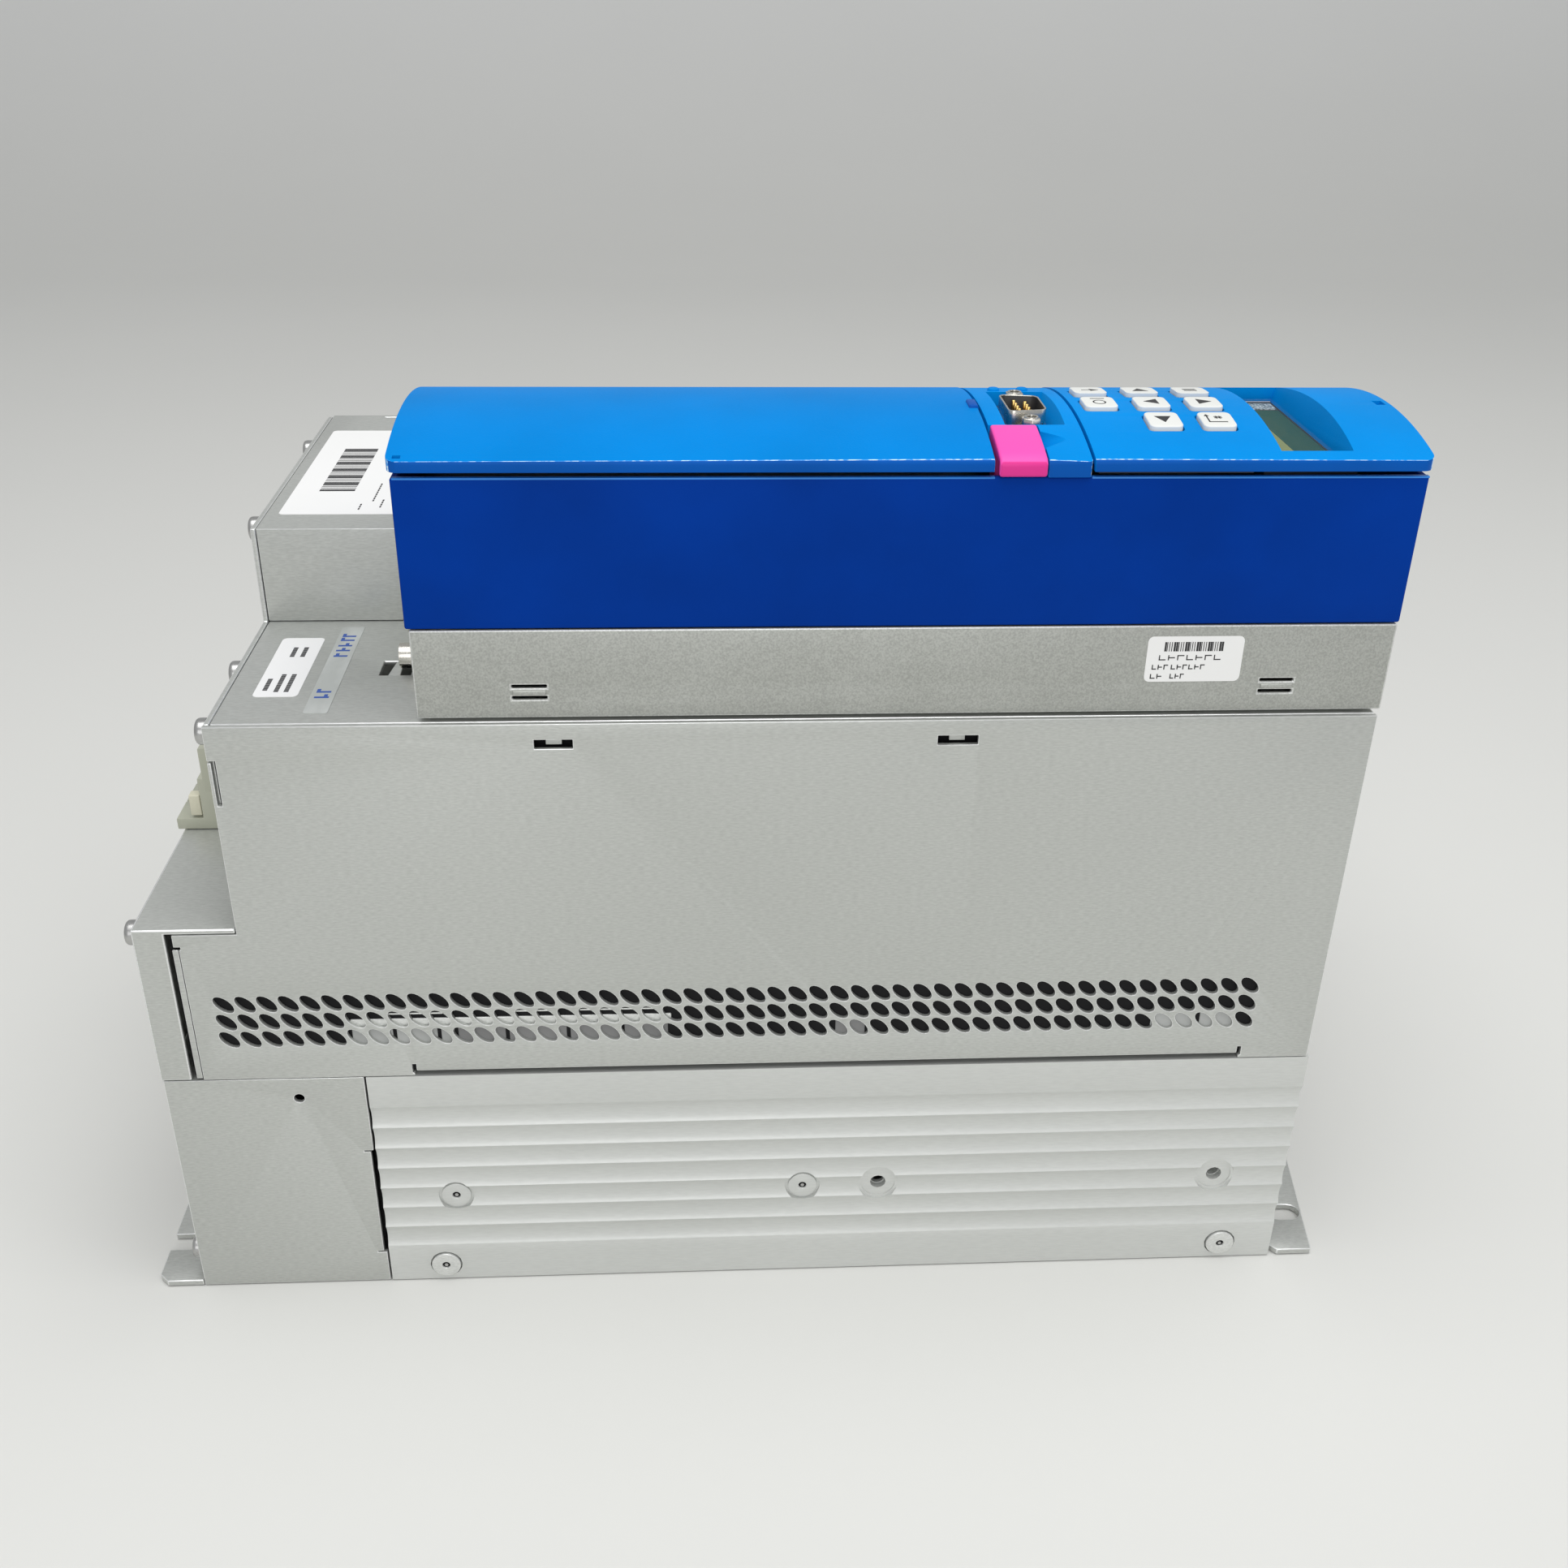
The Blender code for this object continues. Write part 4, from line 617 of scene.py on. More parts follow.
# %% Scallop the walls
SCALLOP_PITCH, SCALLOP_DEPTH, SCALLOPS = 8.0 * MM, 1.05 * MM, 7
SCALLOP_RADIUS = ((SCALLOP_PITCH / 2) ** 2 + SCALLOP_DEPTH ** 2) / (2 * SCALLOP_DEPTH)
sink = softened("heat_sink", 0)
for side in (-1, 1):
    for number in range(SCALLOPS):
        z = 14.5 * MM + (number + 0.5) * SCALLOP_PITCH
        y = side * (Y_FAR + SCALLOP_RADIUS - SCALLOP_DEPTH)
        middle = (sink_low.x + sink_high.x) / 2
        carve(sink, bar("c", (middle, y, z), "X", SCALLOP_RADIUS, 0.4, 96))
for x, z in ((215.5, 35.0), (324.3, 34.8)):
    place_of_hole = (X_START + x * MM, Y_NEAR, z * MM)
    carve(sink, bar("c", place_of_hole, "Y", 5.4 * MM, 2.6 * MM, 48))
    carve(sink, bar("c", place_of_hole, "Y", 2.2 * MM, 16 * MM, 32))
for number in range(1, 5):
    low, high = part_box(f"side_rivet_{number}")
    if low.z > 25 * MM:
        spot = ((low.x + high.x) / 2, Y_NEAR, (low.z + high.z) / 2)
        carve(sink, bar("c", spot, "Y", 5.5 * MM, 2.8 * MM, 48))
round_edges(sink, 0.12 * MM, 1, 30)
place(sink, EXTRUSION, node="heat_sink")

# %% [markdown]
# ## Rivets and screws
# A rivet head is a flat disc with a rounded rim and a hole where the pin was pulled: the upper
# pair lies flush in a counterbore, the lower pair stands on the surface. A pan head screw is a
# disc with a domed top and a cross recess; it is made once and copied to its places.

# %% Rivets
def rivet(name, node):
    """A drilled head with the broken pin inside it."""
    low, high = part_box(node)
    middle = (low + high) / 2
    flush = low.z > 25 * MM
    if flush:
        middle.y += 0.75 * MM
    radius = (high.x - low.x) / 2 - 0.2 * MM
    front = middle.y - (high.y - low.y) / 2
    head = bar(name, middle, "Y", radius, high.y - low.y, 48)
    carve(head, bar("c", (middle.x, front, middle.z), "Y", 1.25 * MM, 1.1 * MM, 24))
    round_edges(head, 0.22 * MM, 3, 40)
    pin = bar("pin", (middle.x, front + 0.95 * MM, middle.z - 0.15 * MM), "Y", 0.62 * MM,
              1.3 * MM, 16)
    round_edges(pin, 0.15 * MM, 2)
    # The black disc deep in the pin hole is painted shade.
    socket = bar("socket", (middle.x, front + 0.5 * MM, middle.z), "Y", 1.2 * MM, 0.08 * MM, 24)
    for part, material in ((head, EXTRUSION if flush else RIVET), (pin, STEEL), (socket, SHADE_FILM)):
        part.data.materials.clear()
        part.data.materials.append(material)
    return place(gather(name, [head, pin, socket]), None, node=node)


for number in range(1, 5):
    rivet(f"rivet_head_{number}", f"side_rivet_{number}")

# %% Pan head screws
def pan_head(name):
    """A domed head at the origin that faces -X, with a cross recess."""
    head = bar(name, (-1.5 * MM, 0, 0), "X", 3.7 * MM, 3.0 * MM, 40)
    select_edges(head, lambda a, b: a.x < -2.9 * MM and b.x < -2.9 * MM)
    bpy.ops.mesh.bevel(offset=1.5 * MM, segments=6, affect="EDGES", profile=0.6)
    done()
    for size in ((0.55, 2.1), (2.1, 0.55)):
        slot = block("c", (-4 * MM, -size[0] * MM, -size[1] * MM),
                     (-1.5 * MM, size[0] * MM, size[1] * MM))
        carve(head, slot)
    return smooth(head, 40)


first_head = pan_head("first_head")
for number in range(1, 7):
    low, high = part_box(f"end_screw_{number}")
    spot = (high.x, (low.y + high.y) / 2, (low.z + high.z) / 2)
    head = duplicate(first_head, f"pan_head_{number}", spot)
    place(head, STEEL, node=f"end_screw_{number}")
bpy.data.objects.remove(first_head, do_unlink=True)

# %% [markdown]
# ## The control unit's base and housing
# The grey tray and the blue housing are plain boxes, so their edges do the work; the tray's
# rounded edges are painted brighter, a painted highlight. The tray's slots get a pressed louvre
# between them. The housing has soft moulded corners, a ledge line under the covers in a lighter
# blue that is a painted highlight, and a small latch nub at its upper end.

# %% Tray and housing
tray = softened("control_base", 0)
notch(tray, (base_low.x - MM, base_low.y - MM, base_low.z - MM),
      (base_high.x + MM, base_high.y + MM, base_low.z + 0.7 * MM))
round_edges(tray, 0.45 * MM, 3, slots=(COAT, COAT_FOLD_HIGHLIGHT))
place(tray, None, node="control_base")


def louvre(name, x_middle):
    """A shallow bent lip between the two slots of a pair."""
    z = base_high.z - 17.75 * MM
    lip = block(name, (x_middle - 4.6 * MM, base_low.y - 0.55 * MM, z - 1.0 * MM),
                (x_middle + 4.6 * MM, base_low.y + 0.6 * MM, z + 1.0 * MM))
    select_faces(lip, lambda centre, normal: normal.y < -0.9)
    bpy.ops.transform.resize(value=(0.94, 1, 0.55))
    done()
    round_edges(lip, 0.25 * MM, 3)
    return place(lip, COAT)


louvre("louvre_lower", base_low.x + 30.2 * MM)
louvre("louvre_upper", base_high.x - 30.5 * MM)
housing = softened("control_housing", 0.7 * MM, 4)
place(housing, DEEP_BLUE, node="control_housing")
# The ledge bead is lighter blue than the housing: a painted highlight along the housing's top edge.
ledges = []
for start, end in ((housing_low.x + 0.6 * MM, cover_high.x), (keypad_low.x, housing_high.x)):
    ledge = block("ledge", (start, housing_low.y - 0.04 * MM, housing_high.z - 0.50 * MM),
                  (end, housing_low.y + 1.6 * MM, housing_high.z + 0.04 * MM))
    ledges.append(round_edges(ledge, 0.2 * MM, 2))
place(gather("housing_ledge_highlight", ledges), LEDGE_HIGHLIGHT_BLUE)
nub = bar("latch_nub", (housing_high.x + 0.4 * MM, housing_low.y + 9 * MM, 242 * MM),
          "X", 1.7 * MM, 1.6 * MM, 24, 1.0 * MM)
round_edges(nub, 0.3 * MM)
place(nub, DEEP_BLUE)

# %% [markdown]
# ## Crowned covers
# The covers share one gentle arch across Y. It could be bent from a flat strip, but a cleaner
# way is to stand a block under a very large round bar lying along X and keep only what both
# have in common. The corners are rounded first, seen from above, and the rim last.

# %% Make a crowned block
CREST = cover_high.z
CROWN_RADIUS = 125 * MM
Y_CROWN = (cover_low.y + cover_high.y) / 2


def crown_z(y, inset=0.0):
    """Height of the arch at y."""
    return CREST - CROWN_RADIUS + sqrt((CROWN_RADIUS - inset) ** 2 - (y - Y_CROWN) ** 2)


def crowned(name, low, high, corners=0.0, corner_ends=(True, True), inset=0.0):
    """A block under the arch, with rounded corners at the chosen ends."""
    piece = block(name, low, (high[0], high[1], CREST + 4 * MM))
    if corners:
        ends = [x for x, wanted in zip((low[0], high[0]), corner_ends) if wanted]
        select_edges(piece, lambda a, b: abs(a.z - b.z) > MM
                     and any(abs(a.x - x) < 1e-5 for x in ends))
        bpy.ops.mesh.bevel(offset=corners, segments=6, affect="EDGES")
        done()
    centre = ((low[0] + high[0]) / 2, Y_CROWN, CREST - CROWN_RADIUS)
    arch = bar("arch", centre, "X", CROWN_RADIUS - inset, high[0] - low[0] + 0.02, 360)
    return keep_inside(piece, arch)


def hollow(piece, low, high, wall=2.2 * MM):
    """Takes the inside out of a cover, over a stretch of X."""
    inside = crowned("inside", (low, cover_low.y + wall, piece_floor(piece) - 3 * MM),
                     (high, cover_high.y - wall, 0), inset=wall)
    return carve(piece, inside)


def piece_floor(piece):
    """Height of the piece's lowest point."""
    return min(point.co.z for point in piece.data.vertices)


# %% [markdown]
# The hinged front cover is the longest. Its rim is a rounded bead with a painted highlight,
# and the lip under it is painted darker, a painted shade. A latch tab stands out of its upper
# end. A small slot marks a moulded hook.

# %% Front cover
def dress_cover(piece, main):
    """Rounds the edges of a cover, paints a highlight on its rounded rim and paints shade on its
    upright lip and its underside.
    """
    near_y = min(point.co.y for point in piece.data.vertices)
    rim_z = crown_z(near_y) - 0.6 * MM
    select_edges(piece, lambda a, b: max(a.y, b.y) < near_y + 0.01 * MM
                 and min(a.z, b.z) > rim_z and abs(a.x - b.x) > MM)
    bpy.ops.mesh.bevel(offset=1.0 * MM, segments=5, affect="EDGES")
    done()
    round_edges(piece, 0.45 * MM, 4, 30, slots=(main, main))
    piece.data.materials.append(AZURE_LIP_SHADE)
    piece.data.materials.append(AZURE_RIM_HIGHLIGHT)
    # Near upright faces and downward faces take the darker lip blue, a painted shade; the rounded
    # rim between takes the rim material, a painted highlight.
    for face in piece.data.polygons:
        near = face.center.y < cover_low.y + 1.6 * MM
        upright = -face.normal.y
        if near and upright > 0.72 or face.normal.z < -0.3:
            face.material_index = 2
        elif near and upright > 0.30:
            face.material_index = 3
    return piece


SHADOW_GAP = 0.35 * MM
front = crowned("hinged_cover", cover_low + Vector((0, 0, SHADOW_GAP)),
                cover_high - Vector((0.4 * MM, 0, 0)), 3.0 * MM, (True, False))
hollow(front, cover_low.x + 2.2 * MM, cover_high.x + 3 * MM)
hook_x, hook_y = X_START + 86.2 * MM, Y_NEAR + 3.8 * MM
notch(front, (hook_x - 1.0 * MM, hook_y - 0.7 * MM, crown_z(hook_y) - 1.6 * MM),
      (hook_x + 1.0 * MM, hook_y + 0.7 * MM, crown_z(hook_y) + 2 * MM))
dress_cover(front, AZURE)
place(front, None, "front_cover", "front_cover")

tab_y = Y_NEAR + 35.5 * MM
latch = block("latch_tab", (cover_high.x - 3.0 * MM, tab_y - 3.6 * MM, crown_z(tab_y) - 1.4 * MM),
              (cover_high.x + 0.2 * MM, tab_y + 3.6 * MM, crown_z(tab_y) + 0.7 * MM))
select_faces(latch, lambda centre, normal: normal.z > 0.9)
bpy.ops.transform.resize(value=(0.7, 0.86, 1))
done()
round_edges(latch, 0.4 * MM, 3)
# The latch tab takes the same darker blue, painted shade.
place(latch, AZURE_LIP_SHADE, "front_cover")

# %% [markdown]
# The bridge stays fixed between the covers. It holds the nine-pin connector in a recess whose
# upper end slopes, the slot for the memory module, and a thumb scoop beside the module. The
# sloped recess is a block whose one side is leaned over before it is taken out; the scoop is
# the mark of a cone that lies along X with its point away from the module.

# %% Bridge
shell_low, shell_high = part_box("serial_connector_shell")
connector = (shell_low + shell_high) / 2
module_low, module_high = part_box("memory_module")
bridge = crowned("bridge_piece", bridge_low - Vector((0, 0, 1.1 * MM)), bridge_high, 0.8 * MM,
                 inset=0.15 * MM)
recess = block("c", (X_START + 240.6 * MM, shell_low.y - 0.5 * MM, shell_low.z - 0.3 * MM),
               (X_START + 254.6 * MM, shell_high.y + 0.5 * MM, CREST + 3 * MM))
select_edges(recess, lambda a, b: min(a.x, b.x) > connector.x and min(a.z, b.z) > CREST)
bpy.ops.transform.translate(value=(3.4 * MM, 0, 0))
done()
round_edges(recess, 0.5 * MM, 3)
carve(bridge, recess)
notch(bridge, (connector.x - 5 * MM, connector.y - 9.8 * MM, bridge_low.z - 3 * MM),
      (connector.x + 5 * MM, connector.y + 9.8 * MM, shell_low.z + MM))
notch(bridge, (bridge_low.x - MM, bridge_low.y - MM, bridge_low.z - 3 * MM),
      (module_high.x + 0.4 * MM, module_high.y + 0.4 * MM, CREST + MM))
scoop_y, scoop_start, scoop_long = Y_NEAR + 12.0 * MM, module_high.x - 0.2 * MM, 7.6 * MM
scoop = bar("c", (scoop_start + scoop_long / 2, scoop_y, crown_z(scoop_y) + 1.0 * MM), "X",
            4.9 * MM, scoop_long, 40, 0.4 * MM)
carve(bridge, scoop)
dress_cover(bridge, AZURE_KEYPAD)
place(bridge, None, node="bridge_cover")
for number, (x, y) in enumerate(((243.4, 55.5), (251.4, 55.5))):
    yy = Y_NEAR + y * MM
    bump = bar(f"bridge_bump_{number}", (X_START + x * MM, yy, crown_z(yy)), "Z", 1.9 * MM,
               1.2 * MM, 28, 1.5 * MM)
    round_edges(bump, 0.3 * MM)
    place(bump, AZURE)

# %% [markdown]
# The keypad cover has a hole for each key and the opening of the display. The opening's upper
# wall leans, so that one can look in along it. Key holes have rounded corners, like the keys.

# %% Keypad cover
KEYS = ["key_function", "key_local", "key_left", "key_down",
        "key_right", "key_escape", "key_up", "key_enter"]
window_low, window_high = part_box("display_window")


def rounded_plate(name, low, high, radius, segments=5):
    """A block whose upright edges are rounded."""
    piece = block(name, low, high)
    select_edges(piece, lambda a, b: abs(a.z - b.z) > 1e-5)
    bpy.ops.mesh.bevel(offset=radius, segments=segments, affect="EDGES")
    done()
    return piece


keypad = crowned("keypad_piece", keypad_low + Vector((0.5 * MM, 0, SHADOW_GAP)), keypad_high,
                 3.0 * MM, (False, True))
hollow(keypad, keypad_low.x - 3 * MM, window_low.x - 2.6 * MM)
hollow(keypad, window_high.x + 2.6 * MM, keypad_high.x - 2.2 * MM)
for name in KEYS:
    low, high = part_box(name)
    carve(keypad, rounded_plate("c", (low.x - 0.4 * MM, low.y - 0.4 * MM, low.z - 3 * MM),
                                (high.x + 0.4 * MM, high.y + 0.4 * MM, CREST + 2 * MM), 1.5 * MM))
opening = block("c", (window_low.x - 0.3 * MM, window_low.y - 0.3 * MM, keypad_low.z - 3 * MM),
                (window_high.x - 1.6 * MM, window_high.y + 0.3 * MM, CREST + 2 * MM))
select_edges(opening, lambda a, b: min(a.x, b.x) > window_high.x - 3 * MM
             and min(a.z, b.z) > CREST)
bpy.ops.transform.translate(value=(3.4 * MM, 0, 0))
done()
carve(keypad, opening)
notch_x = X_START + 346.4 * MM
notch(keypad, (notch_x - 1.6 * MM, Y_CROWN - 2.0 * MM, CREST - 1.5 * MM),
      (notch_x + 1.0 * MM, Y_CROWN + 2.0 * MM, CREST + 2 * MM))
dress_cover(keypad, AZURE_KEYPAD)
place(keypad, None, node="keypad_cover")

# %% [markdown]
# ## Keys
# Each key is a white cap with soft corners whose top follows the crown of the cover. Its symbol
# is printed, so it is a very thin raised shape joined to the cap with its own ink: triangles
# for the four directions, a bar and a ring for local control, an arrow, and a return stroke.

# %% Caps and symbols
PRINT_THICK = 0.05 * MM


def printed_shape(name, size, turn):
    """Turns the new primitive, sizes it and lifts it a hair, so that it is a thin solid."""
    piece = bpy.context.object
    piece.name = piece.data.name = name
    piece.scale = (*size, 1.0)
    piece.rotation_euler = (0, 0, turn)
    settle(piece)
    select_whole(piece)
    bpy.ops.mesh.extrude_region_move(TRANSFORM_OT_translate={"value": (0, 0, PRINT_THICK)})
    bpy.ops.mesh.select_all(action="SELECT")
    bpy.ops.mesh.normals_make_consistent(inside=False)
    done()
    return piece


def patch(name, low, high, z):
    """A printed rectangle between two corners."""
    middle = ((low[0] + high[0]) / 2, (low[1] + high[1]) / 2, z)
    bpy.ops.mesh.primitive_plane_add(size=1, location=middle)
    return printed_shape(name, (high[0] - low[0], high[1] - low[1]), 0)


def stroke(name, start, end, width, z):
    """A straight printed line from start to end."""
    way = Vector(end) - Vector(start)
    middle = (Vector(start) + Vector(end)) / 2
    bpy.ops.mesh.primitive_plane_add(size=1, location=(*middle, z))
    return printed_shape(name, (way.length, width), atan2(way.y, way.x))


def ring(name, centre, radius, z):
    """A flattened torus."""
    bpy.ops.mesh.primitive_torus_add(
        location=(*centre, z), major_radius=radius, minor_radius=0.28 * MM,
        major_segments=32, minor_segments=6,
    )
    piece = bpy.context.object
    piece.name = name
    settle(piece)
    select_whole(piece)
    bpy.ops.transform.resize(value=(1, 1, 0.2), center_override=(*centre, z))
    done()
    return piece


def triangle(name, centre, direction, size, z):
    """A printed triangle that points along the direction; a circle of three points, stretched."""
    way = Vector(direction)
    middle = Vector(centre) - way * size / 6
    bpy.ops.mesh.primitive_circle_add(vertices=3, fill_type="NGON", location=(*middle, z))
    shape = (size / cos(radians(30)), size * 7 / 6)
    return printed_shape(name, shape, atan2(way.y, way.x) - pi / 2)


DIRECTIONS = {"key_right": (0, -1), "key_left": (0, 1), "key_up": (1, 0), "key_down": (-1, 0)}


def symbol(name, centre, z):
    """The printed mark of a key, from strokes and arrows placed in millimetres."""
    def at(x, y):
        return centre[0] + x * MM, centre[1] + y * MM

    def strokes(*lines):
        return [stroke("ink", at(a, b), at(c, d), wide * MM, z) for a, b, c, d, wide in lines]

    def arrow(x, y, way, size):
        return [triangle("ink", at(x, y), way, size * MM, z)]

    if name in DIRECTIONS:
        return arrow(0, 0, DIRECTIONS[name], 2.2)
    if name == "key_local":
        return [ring("ink", at(0, -0.6), 1.6 * MM, z)] + strokes((-1.9, 2.6, 1.9, 2.6, 0.5))
    if name == "key_enter":
        return strokes(
            (-2.4, 1.9, -2.4, -2.0, 0.4), (-2.55, -2.0, 2.4, -2.0, 0.4),
            (0.0, 0.1, 0.0, 1.7, 0.4), (0.9, 0.1, 0.9, 1.7, 0.4),
            (-0.6, 0.5, 1.5, 0.5, 0.35), (-0.6, 1.3, 1.5, 1.3, 0.35),
        ) + arrow(-2.4, 2.2, (0, 1), 0.7)
    if name == "key_function":
        return strokes((-1.9, 0, 1.0, 0, 0.5)) + arrow(1.5, 0, (1, 0), 1.4)
    return strokes(*[(-1.8, row, 1.8, row, 0.45) for row in (-1.0, 0.2, 1.4)])


def key_cap(name):
    """A cap under the raised arch, with its mark laid on top."""
    low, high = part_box(name)
    cap = rounded_plate(f"{name}_cap", low, (high.x, high.y, CREST + 4 * MM), 1.7 * MM, 6)
    middle = (low + high) / 2
    arch = bar("arch", (middle.x, Y_CROWN, CREST - CROWN_RADIUS), "X", CROWN_RADIUS + KEY_PROUD,
               0.04, 720)
    keep_inside(cap, arch)
    round_edges(cap, 0.5 * MM, 4, 30)
    smooth(cap, 50)
    marks = symbol(name, (middle.x, middle.y), 0.0)
    cap.data.materials.append(KEY_WHITE)
    for mark in marks:
        mark.data.materials.append(INK)
        for vertex in mark.data.vertices:
            lift = crown_z(vertex.co.y, -KEY_PROUD)
            vertex.co.z = lift + (0.05 * MM if vertex.co.z > 0.01 * MM else -0.03 * MM)
    gather(f"{name}_cap", [cap] + marks)
    return place(cap, None, name, name)


KEY_PROUD = 1.1 * MM
for name in KEYS:
    key_cap(name)
mat = softened("key_mat", 0.3 * MM)
place(mat, RUBBER, node="key_mat")

# %% [markdown]
# ## Display
# Behind the clear window lies a black bezel with two fields: the olive liquid crystal and the
# dark filter beside it. The bezel is a plate whose top is inset and pushed in.

# %% Window, bezel and fields
bezel = block("display_bezel", (window_low.x, window_low.y, window_low.z - 0.1 * MM),
              (window_high.x, window_high.y, window_high.z - 0.9 * MM))
select_faces(bezel, lambda centre, normal: normal.z > 0.9)
bpy.ops.mesh.inset(thickness=1.1 * MM, depth=0.0)
bpy.ops.mesh.inset(thickness=0.02 * MM, depth=-0.2 * MM)
done()
place(bezel, BLACK)
field_z = window_high.z - 0.95 * MM
inner_low = (window_low.x + 1.3 * MM, window_low.y + 1.0 * MM)
inner_high = (window_high.x - 1.3 * MM, window_high.y - 9.0 * MM)
split_x = inner_low[0] + 0.44 * (inner_high[0] - inner_low[0])
olive = rounded_plate("display_field", (*inner_low, field_z - 0.2 * MM),
                      (split_x, inner_high[1], field_z), 0.3 * MM, 2)
place(olive, OLIVE)
teal = rounded_plate("display_filter", (split_x + 0.1 * MM, inner_low[1], field_z - 0.2 * MM),
                     (*inner_high, field_z), 0.3 * MM, 2)
place(teal, TEAL)
# A speckled grey plate at the window's far end is a painted glint.
glint = rounded_plate("display_end_painted_glint", (inner_low[0], inner_high[1] + 1.2 * MM,
                                            field_z - 0.2 * MM),
                      (inner_high[0], window_high.y - 1.6 * MM, field_z), 0.3 * MM, 2)
GLINT_SPECKLE = finish("speckled_painted_glint", (0.3, 0.34, 0.33), 0.4)
dots = noise(GLINT_SPECKLE, 1500.0, (1, 1, 1), 1.0)
paint(GLINT_SPECKLE, ramp(GLINT_SPECKLE, dots, 0.45, 0.60, (0.10, 0.13, 0.13), (0.55, 0.60, 0.58)))
place(glint, GLINT_SPECKLE)
pane = block("display_pane", (window_low.x, window_low.y, window_high.z - 0.8 * MM),
             window_high)
round_edges(pane, 0.15 * MM)
place(pane, GLASS, node="display_window")
body = softened("display_module", 0.3 * MM)
place(body, BLACK, node="display_module")

# %% [markdown]
# ## Memory module
# The plug-in module is one moulded shell that wraps over the rim. A generous bevel softens it,
# and the upright face that hangs down over the rim is painted a darker pink, a painted shade.

# %% Memory module
module = softened("memory_module", 0.7 * MM, 4)
module.data.materials[0] = PINK
module.data.materials.append(PINK_LIP_SHADE)
# The upright near face takes the darker pink, a painted shade.
for face in module.data.polygons:
    face.material_index = int(face.center.y < module_low.y + 0.6 * MM
                              and face.normal.y < -0.75)
place(module, None, "memory_module", "memory_module")

# %% [markdown]
# ## Nine-pin connector
# The steel shell is drawn from sheet, so it is a thin D with a flange, and it is nickel plated.
# A block is narrowed on one side into the D, its upright edges are rounded, and its top is
# inset and pushed down to leave a thin wall. Nine gold pins stand in a black insert, and a
# threaded hexagonal nut sits at each end.

# %% Shell, insert, pins and nuts
shell_top = shell_high.z
half_x, half_y = 5.3 * MM, 8.5 * MM
d_shell = block("connector_shell", (connector.x - half_x, connector.y - half_y, shell_low.z),
                (connector.x + half_x, connector.y + half_y, shell_top))
select_edges(d_shell, lambda a, b: min(a.x, b.x) > connector.x and abs(a.z - b.z) > MM)
bpy.ops.transform.resize(value=(1, 0.84, 1), center_override=connector)
done()
select_edges(d_shell, lambda a, b: abs(a.z - b.z) > MM)
bpy.ops.mesh.bevel(offset=2.0 * MM, segments=6, affect="EDGES")
done()
select_faces(d_shell, lambda centre, normal: normal.z > 0.9)
bpy.ops.mesh.inset(thickness=0.5 * MM, depth=0.0)
bpy.ops.mesh.extrude_region_move(TRANSFORM_OT_translate={"value": (0, 0, -3.7 * MM)})
done()
round_edges(d_shell, 0.15 * MM, 2)
d_shell.data.materials.append(NICKEL)
d_shell.data.materials.append(BLACK)
# The shell's inner walls and floor take the black moulding: painted shade in the deep D.
for face in d_shell.data.polygons:
    outward = face.normal.dot(face.center - connector)
    inside = face.center.z < shell_top - 0.3 * MM and (outward < 0 or face.normal.z > 0.9)
    face.material_index = int(inside and face.center.z > shell_low.z + 1.5 * MM)
flange = rounded_plate("flange", shell_low,
                       (shell_high.x, shell_high.y, shell_low.z + 0.8 * MM), 1.6 * MM)
round_edges(flange, 0.2 * MM)
flange.data.materials.append(NICKEL)
gather("connector_shell", [d_shell, flange])
smooth(d_shell)
place(d_shell, None, node="serial_connector_shell")

insert_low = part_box("serial_connector_insert")[0]
floor_z = shell_low.z + 2.25 * MM
insert = block("connector_insert", (connector.x - half_x + 0.8 * MM,
                                    connector.y - half_y + 1.4 * MM, insert_low.z),
               (connector.x + half_x - 0.8 * MM, connector.y + half_y - 1.4 * MM, floor_z))
round_edges(insert, 0.3 * MM)
place(insert, BLACK, node="serial_connector_insert")
pins = []
for row, count in ((-1, 5), (1, 4)):
    for number in range(count):
        spot = (connector.x + row * 1.42 * MM,
                connector.y + (number - (count - 1) / 2) * 2.77 * MM, floor_z + 1.25 * MM)
        pin = bar("pin", spot, "Z", 0.5 * MM, 2.6 * MM, 16)
        select_faces(pin, lambda centre, normal: normal.z > 0.9)
        bpy.ops.mesh.inset(thickness=0.12 * MM, depth=0.12 * MM)
        bpy.ops.mesh.inset(thickness=0.14 * MM, depth=0.06 * MM)
        done()
        pins.append(smooth(pin, 60))
place(gather("connector_pins", pins), GOLD)

for side in ("near", "far"):
    low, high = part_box(f"jack_nut_{side}")
    middle = (low + high) / 2
    nut = bar(f"hex_nut_{side}", middle, "Z", (high.x - low.x) / 2, high.z - low.z, 6)
    select_edges(nut, lambda a, b: min(a.z, b.z) > high.z - 0.1 * MM)
    bpy.ops.mesh.bevel(offset=0.4 * MM, segments=2, affect="EDGES")
    done()
    carve(nut, bar("c", middle + Vector((0, 0, MM)), "Z", 1.25 * MM, 5 * MM, 24))
    round_edges(nut, 0.12 * MM, 2)
    collar = bar("collar", (middle.x, middle.y, high.z - 0.1 * MM), "Z", 1.9 * MM, 0.7 * MM, 32)
    carve(collar, bar("c", middle + Vector((0, 0, 2 * MM)), "Z", 1.25 * MM, 5 * MM, 24))
    round_edges(collar, 0.15 * MM, 2)
    gather(f"hex_nut_{side}", [nut, collar])
    place(nut, NICKEL, node=f"jack_nut_{side}")

# %% [markdown]
# ## Terminals
# Pluggable terminal blocks are beige bodies with a row of square wire entries and, above each,
# a small clamping screw. One entry is cut per pole, and one screw head is made per pole.

